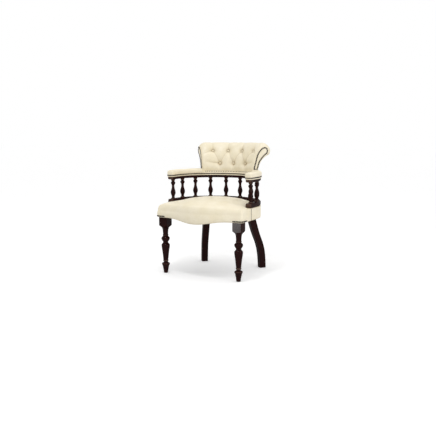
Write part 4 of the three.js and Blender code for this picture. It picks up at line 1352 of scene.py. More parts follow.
@dataclass(frozen=True)
class SeatShape:
    """The plan and the crown of the seat: a half circle behind and a bowed front."""

    centre: float
    rail_foot: float
    cover_foot: float
    radius: float = 0.3025
    depth: float = 0.208
    corner: float = 0.017
    corner_least: float = 0.002
    bow_depth: float = 0.054
    clamp_end: float = 0.08
    free_from: float = 0.129
    pinched: float = 0.2595
    crown: float = 0.046
    front_reach: float = 0.02
    swell_powers: tuple = (2.2, 0.6)
    front_drop: float = 0.034
    clamp_edge: float = 0.004
    bulge: float = 0.005
    bulge_power: float = 0.8
    apron_dip: float = 0.021
    apron_half: float = 0.2
    seam_depth: float = 0.078

    @property
    def spans(self) -> tuple[float, ...]:
        """Lengths of the half outline: arc, arm, flank, corner and front."""
        return (
            self.radius * math.pi / 2, self.clamp_end, self.depth - self.corner - self.clamp_end,
            self.corner * math.pi / 2, self.radius - self.corner)

    def bow(self, x: Points) -> Points:
        """How far the front bows out at a distance from the middle."""
        share = np.minimum(np.abs(x) / (self.radius - self.corner), 1)
        return self.bow_depth * (0.5 + 0.5 * np.cos(math.pi * share))

    def outline(self, share: Points, inset: Points) -> tuple[Points, Points]:
        """X and Y, from the horseshoe's centre, of the plan at a share of the way round.

        Args:
            share: 0 at the middle of the back, by the right side, to 1.
            inset: How far in from the seat's side.

        Returns:
            The X and the Y of each point.
        """
        share, inset = np.broadcast_arrays(share, inset)
        arc, arm, flank, turn, front = self.spans
        half = np.minimum(share, 1 - share) * 2 * (arc + arm + flank + turn + front)
        wide = self.radius - inset
        corner = np.maximum(self.corner - inset, self.corner_least)
        start = -self.depth + inset + corner
        angle = np.clip(half / arc, 0, 1) * math.pi / 2
        on_arm = -self.clamp_end * np.clip((half - arc) / arm, 0, 1)
        on_flank = (start + self.clamp_end) * np.clip((half - arc - arm) / flank, 0, 1)
        bend = np.clip((half - arc - arm - flank) / turn, 0, 1) * math.pi / 2
        rest = 1 - np.clip((half - arc - arm - flank - turn) / front, 0, 1)
        turned = half >= arc + arm + flank
        x = np.where(turned, (wide - corner) * rest + corner * np.cos(bend), wide * np.sin(angle))
        y = np.where(half > arc, on_arm + on_flank, wide * np.cos(angle))
        at_front = half > arc + arm + flank + turn
        y = np.where(turned, start - corner * np.sin(bend), y)
        x = np.where(at_front, (wide - corner) * rest, x)
        y = np.where(at_front, -self.depth + inset - self.bow(x), y)
        return np.where(share > 0.5, -x, x), y

    def share_at(self, along: Points | float) -> Points | float:
        """The share of the way round at a length from the middle of the back."""
        return along / (2 * sum(self.spans))

    def free(self, y: Points) -> Points:
        """0 where the base rail clamps the seat, 1 where its edge is free."""
        return smooth_step(-y, self.clamp_end, self.free_from)

    def reach(self, y: Points) -> Points:
        """How far in the rounding of the edge reaches."""
        return self.clamp_edge + (self.front_reach - self.clamp_edge) * self.free(y)

    def drop(self, y: Points) -> Points:
        """How far the edge drops below the crown."""
        return self.clamp_edge + (self.front_drop - self.clamp_edge) * self.free(y)

    def apron(self, x: Points, y: Points) -> Points:
        """How far the lower edge dips along the front."""
        share = np.minimum(np.abs(x) / self.apron_half, 1)
        dip = self.apron_dip * (0.5 + 0.5 * np.cos(math.pi * share))
        return np.where(y > -self.depth + self.corner, 0, dip)

    def swell(self, distance: Points, reach: Points) -> Points:
        """A swell from nothing at an edge to the whole at the middle."""
        outer, inner = self.swell_powers
        return np.clip(1 - (1 - np.clip(distance / reach, 0, 1)) ** outer, 0, 1) ** inner

    def wall_swell(self, y: Points, share: Points | float) -> Points:
        """How far the wall bulges at a share of its height."""
        return self.bulge * self.free(y) * np.sin(math.pi * share) ** self.bulge_power

    def crown_at(self, x: Points, y: Points) -> Points:
        """The height of the crowned leather.

        Args:
            x: How far from the middle.
            y: How far behind the horseshoe's centre.

        Returns:
            The height over the floor of each point.
        """
        side = self.pinched + (self.radius - self.pinched) * self.free(y)
        from_side = side - np.where(y > 0, np.hypot(x, y), np.abs(x))
        from_front = y + self.depth + self.bow(x)
        crown = self.swell(from_side, side) * self.swell(from_front, self.depth + self.bow_depth)
        return self.rail_foot - CLEARANCE + self.crown * crown

    def top_at(self, x: Points, y: Points, inset: Points) -> Points:
        """The height of the leather with its rounded edge."""
        reach = self.reach(y)
        return self.crown_at(x, y) - self.drop(y) * draw_in(reach, inset) / reach


@dataclass
class Seat:
    """The crowned seat: its cover, the band round its sides and back, and the dust cover."""

    shape: SeatShape
    front_legs: FrontLegs
    back_legs: BackLegs
    wardrobe: Wardrobe
    leather: float = 0.0022
    groove: float = 0.0014
    groove_width: float = 0.0022
    stations: int = 330
    wall_rows: int = 18
    clamp_rows: int = 7
    crown_rows: int = 25
    least_gap: float = 0.0006
    seam_rows: tuple = (-0.006, -0.003, -0.0015, 0, 0.0015, 0.003, 0.006)
    tucked: tuple = ((0.018, 0), (0.008, 0), (0.003, 0.0002), (0.001, 0.0012))
    edge_shares: tuple = (0.02, 0.06, 0.13, 0.22, 0.34, 0.48, 0.64, 0.82, 1.0)
    inner_shares: tuple = (0.006, 0.014, 0.026, 0.042, 0.062, 0.088, 0.12, 0.16, 0.205, 0.25)
    crown_centre: float = -0.027
    # how far the painted shade reaches below the rail, in from the clamp and up from the foot
    rail_crease: float = 0.003
    clamp_crease: float = 0.006
    foot_crease: float = 0.004
    seam_crease: float = 0.0025
    band_margin: float = 0.00005
    cloth_points: int = 160
    cloth_inset: float = 0.023
    cloth_front_inset: float = 0.0333
    cloth_rise: float = 0.0004
    cloth_thickness: float = 0.0008
    leg_holes: tuple = (0.062, 0.052)
    swelling: Swelling = Swelling(most=0.0028, pressure=4.0)

    def ring_shares(self) -> Points:
        """Shares of the way round, closer together at the seams and the corners.

        Returns:
            The shares, from 0 to 1.
        """
        shape = self.shape
        arc, arm, flank, turn, _ = shape.spans
        seam = shape.share_at(arc + shape.seam_depth) + shape.share_at(np.array(self.seam_rows))
        corner = shape.share_at(arc + arm + flank) + np.linspace(0, 1, 9) * shape.share_at(turn)
        half = np.concatenate([np.linspace(0, 0.5, self.stations // 2), seam, corner])
        half = np.unique(np.round(half, 6))
        keep = {round(float(share), 6) for share in seam}
        spaced = [half[0]]
        for share in half[1:]:
            if share - spaced[-1] > self.least_gap or float(share) in keep:
                spaced.append(share)
        half = np.array(spaced)
        return np.concatenate([half, 1 - half[-2::-1]])

    def rows(self) -> tuple[Points, Points]:
        """The cover's points from under its foot up the wall and over the crown.

        Returns:
            The points, ring by ring, and how far each is held: 1 fast, 0 free.
        """
        shape = self.shape
        shares = self.ring_shares()
        zero = np.zeros_like(shares)
        edge_x, edge_y = shape.outline(shares, zero)
        free, reach = shape.free(edge_y), shape.reach(edge_y)
        foot = shape.cover_foot - shape.apron(edge_x, edge_y)
        top = shape.top_at(edge_x, edge_y, zero)
        seam = np.abs(np.abs(edge_x) - shape.radius) < 0.001
        groove = self.groove * np.exp(-((edge_y + shape.seam_depth) / self.groove_width) ** 2) * seam
        made, held = [], []

        def add(x: Points, y: Points, z: Points, hold: float | Points) -> None:
            """Keeps one ring."""
            made.append(np.column_stack([x, y + shape.centre, z]))
            held.append(np.broadcast_to(hold, x.shape))

        def add_top(inset: Points, hold: Points) -> tuple[Points, Points]:
            """Keeps one ring of the top, and gives its X and Y."""
            x, y = shape.outline(shares, inset)
            add(x, y, shape.top_at(x, y, inset), hold)
            return x, y

        for inset, rise in self.tucked:
            add(*shape.outline(shares, zero + inset), foot + rise, 1)
        for share in np.linspace(0.05, 1, self.wall_rows):
            x, y = shape.outline(shares, groove - shape.wall_swell(edge_y, share))
            add(x, y, foot + (top - foot) * share, 1)
        for share in self.edge_shares:
            add_top(share * np.maximum(reach, 0.001), 1 - share * free)
        pinch = shape.radius - shape.pinched
        for share in np.linspace(0, 1, self.clamp_rows)[1:]:
            add_top(reach + share * (pinch - reach), 1 - free)
        for share in self.inner_shares:
            rim_x, rim_y = add_top(
                zero + pinch + share * shape.pinched, (1 - free) * max(0, 0.6 - 8 * share))
        for share in np.linspace(1, 0, self.crown_rows)[1:]:
            x = rim_x * share
            y = self.crown_centre + (rim_y - self.crown_centre) * share
            add(x, y, shape.crown_at(x, y), 0)
        return np.array(made), np.array(held)

    def build(self) -> None:
        """The two leather pieces and the dust cover."""
        points, held = self.rows()
        cover = Bench.skin("seat_cover_leather", points, {"held": held})
        self.swelling.swell(cover)
        self._crease(cover)
        band = self._split_band(cover)
        for piece, node in ((cover, "seat_cover"), (band, "seat_side_cover")):
            Bench.modify(piece, "SOLIDIFY", thickness=self.leather, offset=-1.0, use_even_offset=True)
            Bench.smooth(piece, degrees=60)
            self.wardrobe.dress(piece, Finish.CREAM_LEATHER, node, fill=0.9)
        self._dust_cover()

    def _crease(self, cover: Piece) -> None:
        """Marks painted shade where the leather is pinched under the rail and where it tucks under at
        its foot, and a darker line down each side seam.

        Args:
            cover: The whole leather.
        """
        shape = self.shape
        points = Bench.points_of(cover)
        x, y, z = points[:, 0], points[:, 1] - shape.centre, points[:, 2]
        from_rail = shape.pinched - np.where(y > 0, np.hypot(x, y), np.abs(x))
        below = np.clip(shape.rail_foot - z, 0, 1) / self.rail_crease
        inside = np.clip(from_rail, 0, 1) / self.clamp_crease
        clamped = np.exp(-np.where(from_rail > -0.004, inside, below)) * (1 - shape.free(y))
        over_foot = np.clip(z - shape.cover_foot + shape.apron(x, y), 0, 1)
        low = np.exp(-over_foot / self.foot_crease)
        sewn = np.exp(-np.abs(y + shape.seam_depth) / self.seam_crease) * (z < shape.rail_foot)
        sewn = sewn * (np.abs(x) > shape.radius - 0.004)
        # painted shade under the rail and at the foot, and a darker line along the seam
        Bench.mark(cover, "crease", np.clip(0.8 * clamped + 0.7 * low + sewn, 0, 1))

    def _split_band(self, cover: Piece) -> Piece:
        """Parts the band behind the side seams and below the rail from the cover.

        Args:
            cover: The whole leather, from which the band is taken.

        Returns:
            The band.
        """
        seam = self.shape.centre - self.shape.seam_depth
        level = self.shape.rail_foot - CLEARANCE - self.shape.clamp_edge - self.band_margin
        with Bench.editing_faces(cover, lambda face: face.center.y > seam and face.center.z < level):
            bpy.ops.mesh.separate(type="SELECTED")
        band = next(piece for piece in bpy.context.selected_objects if piece is not cover)
        band.name = band.data.name = "seat_side_leather"
        return band

    def _dust_cover(self) -> None:
        """The cloth stretched under the seat frame, cut out round the legs."""
        shape = self.shape
        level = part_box("seat_dust_cover")[0].z
        shares = np.linspace(0, 1, self.cloth_points, endpoint=False)
        _, edge_y = shape.outline(shares, np.zeros_like(shares))
        at_front = edge_y < -shape.depth + shape.corner + 0.001
        x, y = shape.outline(shares, np.where(at_front, self.cloth_front_inset, self.cloth_inset))
        cloth = Bench.disc("seat_dust_cloth", 1, len(shares))
        Bench.move_points(cloth, np.column_stack([
            x, y + shape.centre, np.full(len(shares), level + self.cloth_rise)]))
        with Bench.editing(cloth, "FACE"):
            Bench.extrude(0, 0, self.cloth_thickness)
        Bench.outwards(cloth)
        cutters = []
        for side in Side:
            low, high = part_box(f"front_leg_{side.word}")
            spot = ((low.x + high.x) / 2, low.y + self.front_legs.block / 2, level)
            back = self.back_legs.stand(side, self.back_legs.head_radius, level)
            for size, place in zip(self.leg_holes, (Matrix.Translation(spot), back)):
                Bench.clear()
                bpy.ops.mesh.primitive_cube_add(size=size)
                cutters.append(Bench.place(Bench.named("leg_cutter"), place))
        Bench.cut(cloth, *cutters)
        self.wardrobe.dress(cloth, Finish.BLACK_CLOTH, "seat_dust_cover")


# Arm pads and ledge


@dataclass
class ArmPads:
    """The padded arms, their skirts over the arm rail, and the ledge in front of the back."""

    shape: Horseshoe
    rails: Rails
    wardrobe: Wardrobe
    back_turn: float = math.pi / 4
    start_gap: float = 0.0042
    skirt: float = 0.0235
    skirt_drop: float = 0.01
    height: float = 0.035
    bulge: float = 0.0024
    overhang: float = 0.005
    tip_radius: float = 0.015
    tip_reach: float = 0.022
    tip_drop: float = 0.015
    swelling: Swelling = Swelling(most=0.0022, pressure=3.0)
    gather: tuple = (0.0006, 0.0032, 0.016, 0.009)
    section_points: int = 56
    run_points: tuple = (40, 14, 16)
    ledge_points: int = 90
    crease_reach: float = 0.002
    ledge_face: tuple = (
        (0.0, -0.004), (0.0, 0.0015), (-0.0012, 0.0055), (0.0002, 0.0095))
    ledge_nose: tuple = ((0.0028, 0.0), (0.005, 0.0002))
    ledge_rear: float = -0.0118
    ledge_crease: float = 0.004
    shares: tuple = (
        (0, 0.08), (0.7, 0.2), (1, 0.4), (0.82, 0.62), (-0.5, 0.82), (-3.2, 0.94), (-7, 1.0),
    )

    @property
    def tip(self) -> float:
        """The run at which the pad ends."""
        return self.shape.tip + self.overhang

    def _section(self) -> Points:
        """The pad's closed section: one skirt, the padded top, the other skirt and the floor.

        Returns:
            How far out from the rail's middle and how far over the rail's top each point is.
        """
        flank = [(self.skirt + out * self.bulge, up * self.height) for out, up in self.shares]
        half = [(self.skirt, 0.0), *flank]
        across = [*half, (0, self.height + 0.0004), *[(-x, z) for x, z in reversed(half)]]
        upper = smooth_line(across, self.section_points)
        skirt = np.column_stack([np.full(5, self.skirt), np.linspace(-self.skirt_drop, -0.002, 5)])
        floor = np.column_stack([
            np.linspace(-self.skirt, self.skirt, 12), np.full(12, -self.skirt_drop)])
        return np.vstack([skirt, upper, skirt[::-1] * (-1, 1), floor[1:]])

    def pad(self) -> Piece:
        """The right pad, solid down to the skirt's edge.

        Returns:
            The pad, with its mark named held.
        """
        start = self.back_turn * self.shape.radius + self.start_gap
        on_bend, on_arm, on_tip = self.run_points
        bend = np.linspace(start, self.shape.quarter, on_bend)
        arm = np.linspace(self.shape.quarter, self.tip - self.tip_reach, on_arm)[1:]
        tip = self.tip - self.tip_reach * (1 - np.sin(np.linspace(0, math.pi / 2, on_tip)[1:]))
        runs = np.concatenate([bend, arm, tip])[:, None]
        from_tip = self.tip - runs
        wide = 1 - draw_in(self.tip_radius, from_tip) / self.skirt
        drop = draw_in(self.tip_reach, from_tip) / self.tip_reach * self.tip_drop / self.height
        x, z = self._section().T[:, None]
        deep, pitch, middle, spread = self.gather
        gather = deep * np.sin(x / pitch) * np.exp(-((from_tip - middle) / spread) ** 2)
        high = np.where(z > 0, z * (1 - drop), z) + gather * smooth_step(z, 0.01, 0.03)
        rows = self.shape.at(runs, x * wide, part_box("arm_rail_back")[1].z + high)
        held = 1 - smooth_step(np.broadcast_to(z, rows.shape[:2]), 0.001, 0.012)
        ends = np.minimum(runs - start, self.tip - runs)
        held = np.maximum(held, 1 - smooth_step(ends, 0.0, 0.01))
        return Bench.skin("arm_pad_model", rows, {"held": held}, capped=True)

    def build(self) -> None:
        """Both pads, each cut out for the rail, and the ledge."""
        pad = self.pad()
        self.swelling.swell(pad)
        rail_foot, rail_top = (corner.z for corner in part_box("arm_rail_back"))
        # painted shade along the skirt's lower edge, where the pad meets the rail
        over_edge = np.clip(Bench.points_of(pad)[:, 2] - rail_top + self.skirt_drop, 0, 1)
        Bench.mark(pad, "crease", 0.6 * np.exp(-over_edge / self.crease_reach))
        Bench.cut(pad, self.rails.segment("rail_cutter", rail_foot, Side.RIGHT, CLEARANCE))
        Bench.smooth(pad, degrees=50)
        self.wardrobe.dress_pair(pad, "arm_pad", Finish.CREAM_LEATHER, fill=0.85)
        self._ledge()

    def _ledge(self) -> None:
        """The narrow ledge pad before the back, with its skirt over the rail's inner face."""
        low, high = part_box("back_ledge_pad")
        rail_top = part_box("arm_rail_back")[1].z
        wood, cushion = -self.shape.width / 2 - CLEARANCE, self.ledge_rear
        lip = [(wood, low.z), (-self.skirt, low.z)]
        face = smooth_line([
            *[(out - self.skirt, rail_top + up) for out, up in self.ledge_face],
            *[(out - self.skirt, high.z + up) for out, up in self.ledge_nose]], 14)
        foot = rail_top + CLEARANCE
        rest = [(cushion, high.z - 0.0002), (cushion, foot), (wood, foot)]
        section = np.array([*lip, *face, *rest, lip[0]])
        span = self.back_turn * self.shape.radius + 0.003
        runs = np.linspace(-span, span, self.ledge_points)[:, None]
        rows = self.shape.at(runs, section[:, 0][None], section[:, 1][None])
        # painted shade on the ledge where it meets the cushion behind it
        crease = np.broadcast_to(
            np.exp(-((section[:, 0] - cushion) / self.ledge_crease) ** 2)[None], rows.shape[:2])
        piece = Bench.skin("back_ledge_leather", rows, {"crease": crease * 0.5}, capped=True)
        Bench.smooth(piece, degrees=40)
        self.wardrobe.dress(piece, Finish.CREAM_LEATHER, "back_ledge_pad", fill=0.9)


# The buttoned back


@dataclass(frozen=True)
class Tuft:
    """A place where a button draws the leather in, as a turn, and shares of depth and height."""

    turn: float
    depth: float
    height: float
    upper: bool


@dataclass
class Back:
    """The back cushion with its roll, its buttons, its facings and its outer cover."""

    shape: Horseshoe
    pads: ArmPads
    wardrobe: Wardrobe
    span: float = math.pi / 4
    foot_depth: float = 0.0115
    depth: float = 0.1255
    height: float = 0.2025
    pitch: float = math.radians(19.7)
    front_points: int = 118
    rear_points: int = 60
    cushion_turns: int = 150
    cover_turns: int = 90
    facing_points: int = 96
    foot_rounding: float = 0.007
    roll_rounding: float = 0.024
    cover: float = 0.0027
    tuft_depth: float = 0.013
    tuft_radius: float = 0.024
    tuft_crease: float = 0.0125
    fold_depth: float = 0.0055
    fold_width: float = 0.0062
    fold_crease: float = 0.0028
    pleat_depth: float = 0.0045
    top_pleat: float = 0.062
    foot_pleat: float = 0.05
    pillow: float = 0.0065
    pillow_reach: float = 0.024
    button_radius: float = 0.0072
    button_height: float = 0.0042
    button_sunk: float = 0.0012
    button_profile: tuple = (
        (0.9, 0.0), (1.0, 0.16), (1.0, 0.32), (0.93, 0.55), (0.78, 0.76), (0.55, 0.92), (0.28, 0.99),
        (0.06, 1.0),
    )
    shank_radius: float = 0.0015
    shank_length: float = 0.009
    facing_thickness: float = 0.003
    facing_margin: float = 0.005
    facing_steps: tuple = ((0.0008, 0.2), (0.0014, 0.1), (0.003, 0.05), (0.004, 0.05))
    swelling: Swelling = Swelling(most=0.0035, pressure=4.0)
    front: tuple = (
        (0, 0), (0, 0.07), (-0.012, 0.185), (0.012, 0.343), (0.036, 0.432), (0.084, 0.556),
        (0.147, 0.664), (0.235, 0.778), (0.363, 0.891), (0.498, 0.965), (0.618, 1), (0.761, 0.983),
        (0.888, 0.926), (0.976, 0.847), (1, 0.768), (0.968, 0.694), (0.896, 0.64),
    )
    rear: tuple = ((0.817, 0.615), (0.705, 0.58), (0.546, 0.496), (0.418, 0.388), (0.3, 0.19))
    teardrop: tuple = (
        (0.044, 0.178), (0.06, 0.272), (0.116, 0.386), (0.168, 0.516), (0.222, 0.63), (0.32, 0.743),
        (0.458, 0.835), (0.602, 0.875), (0.717, 0.85), (0.761, 0.776), (0.72, 0.709), (0.578, 0.63),
        (0.437, 0.531), (0.339, 0.45), (0.27, 0.352), (0.227, 0.253), (0.187, 0.188),
    )

    def __post_init__(self) -> None:
        """Reads the levels from the frame."""
        self.rail_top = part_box("arm_rail_back")[1].z
        self.foot = self.rail_top + CLEARANCE
        self.inner = self.shape.radius - self.foot_depth

    def in_section(self, shares: Sequence[tuple[float, float]]) -> Points:
        """Radius and height of points given as shares of the back's depth and height."""
        given = np.array(shares, float)
        return np.array([self.inner, self.foot]) + given * (self.depth, self.height)

    def spot_of(self, tuft: Tuft) -> Points:
        """Radius and height of a tuft before it is drawn in."""
        return self.in_section([(tuft.depth, tuft.height)])[0]

    def tufts(self) -> list[Tuft]:
        """Four upper and three lower buttons, set in diamonds."""
        upper = [Tuft(n * self.pitch, 0.243, 0.785, True) for n in (-1.5, -0.5, 0.5, 1.5)]
        lower = [Tuft(n * self.pitch, 0.012, 0.343, False) for n in (-1, 0, 1)]
        return upper + lower

    @staticmethod
    def normals(line: Points) -> Points:
        """Outward normals along an open outline that runs up the front."""
        along = np.gradient(line, axis=0)
        along /= np.linalg.norm(along, axis=1, keepdims=True)
        return np.column_stack([-along[:, 1], along[:, 0]])

    def rounding(self, line: Points) -> Points:
        """The radius to which each point of the outline is rounded at the back's ends."""
        share = np.clip((line[:, 1] - self.foot) / self.height, 0, 1)
        return smooth_step(share, 0, 0.15) * (
            self.foot_rounding + (self.roll_rounding - self.foot_rounding) * share)

    def turns(self, count: int) -> Points:
        """Turns along the back, closer together at its ends.

        Args:
            count: How many there are between the ends.

        Returns:
            The turns, from left to right.
        """
        reach = self.roll_rounding / self.shape.radius
        end = reach * (1 - np.cos(np.linspace(0, math.pi / 2, 12)))
        middle = np.linspace(-self.span + reach, self.span - reach, count)
        return np.concatenate([-self.span + end[:-1], middle, self.span - end[:-1][::-1]])

    def drawn(self, line: Points, turns: Points) -> Points:
        """The outline at each turn, drawn in towards the ends.

        Args:
            line: The outline in section.
            turns: The turns along the back.

        Returns:
            Radius and height, by turn and point of the outline.
        """
        from_tip = (self.span - np.abs(turns)) * self.shape.radius
        radius = self.rounding(line)[None]
        amount = np.where(radius > 0, draw_in(np.maximum(radius, WELD), from_tip[:, None]), 0)
        rows = line[None] - amount[..., None] * self.normals(line)[None]
        rows[:, -1, 1] = self.foot
        return rows

    def folds(self, soft: Points) -> list[tuple[tuple[float, float], tuple[float, float], float]]:
        """The folds between buttons and the pleats that run out from them.

        Args:
            soft: The front outline in section.

        Returns:
            For each fold its two ends, as a turn and a length up the outline, and its depth.
        """
        along = lengths_along(soft)
        tufts = self.tufts()
        ends = []
        for tuft in tufts:
            away = np.linalg.norm(soft - self.spot_of(tuft), axis=1)
            ends.append((tuft.turn, float(along[np.argmin(away)])))
        high, low = ends[:4], ends[4:]
        made = [(foot, head, self.fold_depth) for foot in low for head in high
                if abs(foot[0] - head[0]) < self.pitch * 0.6]
        for turn, length in high:
            made.append(((turn, length), (turn * 1.01, length + self.top_pleat), self.pleat_depth))
        for (turn, length), reach, shift in (
                (high[0], 1.0, -0.035), (high[3], 1.0, -0.035), (low[0], 0.93, 0.012),
                (low[2], 0.93, 0.012)):
            end = (math.copysign(self.span * reach, turn), length + shift)
            made.append(((turn, length), end, self.pleat_depth * 0.8))
        for turn, length in low:
            made.append(((turn, length), (turn, length - self.foot_pleat), self.pleat_depth * 0.45))
        return made

    def drawn_in(self, turns: Points, soft: Points) -> tuple[Points, Points]:
        """How deep the leather is drawn in, and how creased it is; the crease also paints shade into
        the folds and round the buttons.

        Args:
            turns: The turns along the back.
            soft: The front outline in section.

        Returns:
            The depth and the crease, from 0 to 1, by turn and point of the outline.
        """
        along = lengths_along(soft)
        radius = soft[:, 0][None]
        depth = np.zeros((len(turns), len(soft)))
        crease = np.zeros_like(depth)
        nearest = np.full_like(depth, 1.0)
        for tuft in self.tufts():
            across = (turns[:, None] - tuft.turn) * radius
            away = np.hypot(across, np.linalg.norm(soft - self.spot_of(tuft), axis=1)[None])
            depth += 0.7 * self.tuft_depth * np.exp(-(away / self.tuft_radius) ** 2)
            depth += 0.36 * self.tuft_depth * np.exp(-away / (0.45 * self.tuft_radius))
            crease += 1.1 * np.exp(-(away / self.tuft_crease) ** 2)
            nearest = np.minimum(nearest, away)
        places = np.stack(np.broadcast_arrays(turns[:, None] * radius, along[None]), -1)
        for start, end, deep in self.folds(soft):
            first, last = (
                np.stack(np.broadcast_arrays(turn * radius, length), -1)
                for turn, length in (start, end))
            way = last - first
            share = np.clip(np.sum((places - first) * way, -1) / np.sum(way * way, -1), 0, 1)
            away = np.linalg.norm(places - first - share[..., None] * way, axis=-1)
            between = deep == self.fold_depth
            taper = 1 - 0.45 * np.sin(math.pi * share) if between else (1 - share) ** 0.8
            depth += deep * taper * np.exp(-away / self.fold_width)
            crease += 0.55 * taper * np.exp(-(away / self.fold_crease) ** 2)
            nearest = np.minimum(nearest, away + (0 if between else 0.02 * share))
        inside = smooth_step(along, 0.012, 0.05) * (1 - smooth_step(along, 0.24, 0.3))
        ends = smooth_step(self.span - np.abs(turns), 0.02, 0.12)[:, None]
        depth -= self.pillow * (1 - np.exp(-(nearest / self.pillow_reach) ** 2)) * inside[None] * ends
        fade = smooth_step(along, 0.0, 0.008) * (1 - smooth_step(along, along[-1] - 0.02, along[-1]))
        return depth * fade[None], np.clip(crease, 0, 1) * fade[None]

    def on_back(self, turns: Points, rows: Points) -> Points:
        """Points of the back from its turns and its radius and height."""
        runs, offsets = turns[:, None] * self.shape.radius, rows[..., 0] - self.shape.radius
        return self.shape.at(runs, offsets, rows[..., 1])

    def rear_line(self) -> Points:
        """The rear outline in section, from under the roll down to the arm rail.

        Returns:
            Radius and height of its points.
        """
        foot = self.shape.radius + self.pads.skirt
        given = [*self.in_section([self.front[-1], *self.rear]), (foot, self.rail_top + 0.023),
                 (foot, self.foot)]
        return smooth_line(given, self.rear_points)

    def cushion(self) -> Piece:
        """The padded cushion with its roll, drawn in at the buttons.

        Returns:
            The cushion.
        """
        soft = smooth_line(self.in_section(self.front), self.front_points)
        count = len(soft)
        line = np.vstack([soft, self.rear_line()[1:]])
        normals = self.normals(line)[None]
        turns = self.turns(self.cushion_turns)
        rows = self.drawn(line, turns)
        rows[:, 0, 1] = self.foot
        depth, crease = self.drawn_in(turns, soft)
        rows[:, :count] -= depth[..., None] * normals[:, :count]
        under_cover = smooth_step(np.arange(len(line) - count), 0, 6)[None, :, None]
        rows[:, count:] -= (self.cover + CLEARANCE) * normals[:, count:] * under_cover
        rows[:, -1, 1] = self.foot
        inward = np.linspace(0, 1, 8)[None, 1:, None] ** 0.5
        floor = rows[:, -1:] + (rows[:, :1] - rows[:, -1:]) * inward
        section = np.concatenate([rows, floor], axis=1)
        free = smooth_step(lengths_along(soft), 0.004, 0.03)
        free = free * (1 - smooth_step(np.arange(count), count - 12, count))
        ends = smooth_step((self.span - np.abs(turns)) * self.shape.radius, 0.0, 0.02)[:, None]
        held = np.ones(section.shape[:2])
        held[:, :count] = 1 - free[None] * ends * np.clip(1 - crease, 0, 1)
        marks = np.zeros(section.shape[:2])
        # the crease mark paints shade into the folds and the button recesses
        marks[:, :count] = crease
        piece = Bench.skin("back_cushion_leather", self.on_back(turns, section),
                           {"held": held, "crease": marks}, capped=True)
        self.swelling.swell(piece)
        return Bench.smooth(piece, degrees=60)

    def outer_cover(self) -> Piece:
        """The smooth leather that closes the rear of the back.

        Returns:
            The cover.
        """
        line = self.rear_line()[2:]
        turns = self.turns(self.cover_turns)
        rows = self.drawn(line, turns)
        levels = np.linspace(self.foot, self.rail_top - self.pads.skirt_drop, 6)[1:]
        skirt = np.column_stack([np.full(5, self.shape.radius + self.pads.skirt), levels])
        outer = np.concatenate([rows, np.broadcast_to(skirt, (len(turns), *skirt.shape))], axis=1)
        inner = outer - self.cover * self.normals(np.vstack([line, skirt]))[None]
        section = np.concatenate([outer, inner[:, ::-1], outer[:, :1]], axis=1)
        crease = np.zeros(section.shape[:2])
        # painted shade along the top rows, under the roll
        crease[:, :3] = 0.6
        piece = Bench.skin(
            "back_outer_leather", self.on_back(turns, section), {"crease": crease}, capped=True)
        return Bench.smooth(piece, degrees=45)

    def facing_place(self) -> Matrix:
        """What brings a flat shape, X outwards and Y upwards, to the right end of the back.

        Returns:
            The matrix.
        """
        out = Vector((math.sin(self.span), math.cos(self.span), 0))
        normal = Vector((math.cos(self.span), -math.sin(self.span), 0))
        rotation = Matrix((out, Vector((0, 0, 1)), normal)).transposed().to_4x4()
        return Matrix.Translation((0, self.shape.centre, 0)) @ rotation

    def facing(self) -> Piece:
        """The right facing: a flat teardrop, drawn out and rounded over its edge.

        Returns:
            The facing at its place.
        """
        drop = self.in_section(self.teardrop)
        closed = np.vstack([drop[-1:], drop, drop[:1]])
        along = closed[2:] - closed[:-2]
        along /= np.linalg.norm(along, axis=1, keepdims=True)
        wide = drop + self.facing_margin * np.column_stack([-along[:, 1], along[:, 0]])
        edge = smooth_line(wide[1:], self.facing_points)
        low = self.foot + CLEARANCE
        corners = np.array([edge[-1], (edge[-1, 0], low), (wide[0, 0], low), edge[0]])
        sides = [even_line(corners[first:first + 2], 8)[1:] for first in range(3)]
        outline = np.vstack([edge, *sides])[:-1]
        piece = Bench.disc("back_facing_model", 1, len(outline))
        Bench.move_points(piece, np.column_stack([outline, np.full(len(outline), CLEARANCE)]))
        with Bench.editing(piece, "FACE"):
            Bench.extrude(0, 0, 0.7 * self.facing_thickness)
            for inset, lift in self.facing_steps:
                bpy.ops.mesh.inset(thickness=inset)
                bpy.ops.transform.translate(value=(0, 0, lift * self.facing_thickness))
        Bench.outwards(piece)
        Bench.mark(piece, "crease", np.zeros(len(piece.data.vertices)))
        Bench.place(piece, self.facing_place())
        return Bench.smooth(piece, degrees=50)

    def button(self) -> Piece:
        """A covered button with its short shank, facing +Z at the origin, with painted shade round its
        rim.

        Returns:
            The button.
        """
        shank = [(self.shank_radius, -self.shank_length), (self.shank_radius, -0.0002)]
        dome = np.array(self.button_profile) * (self.button_radius, self.button_height)
        piece = Bench.turned("button_model", np.vstack([shank, dome]), 26)
        ring = np.hypot(*Bench.points_of(piece)[:, :2].T)
        # painted shade round the button's rim, where it sinks into its tuft
        Bench.mark(piece, "crease", np.clip((ring / self.button_radius - 0.8) * 3, 0, 0.6))
        return Bench.smooth(piece, degrees=60)

    def button_place(self, tuft: Tuft) -> Matrix:
        """What sets a button, facing out of the leather, at the bottom of its tuft.

        Args:
            tuft: The button's tuft.

        Returns:
            The matrix.
        """
        radius, height = self.spot_of(tuft)
        lean = Vector((-0.82, 0.57)).normalized() if tuft.upper else Vector((-1, 0))
        sunk = self.tuft_depth + self.button_sunk
        spot = Vector((0, radius - lean.x * sunk, height - lean.y * sunk))
        return self.shape.turn_to(tuft.turn) @ facing_out(spot, (0, lean.x, lean.y))

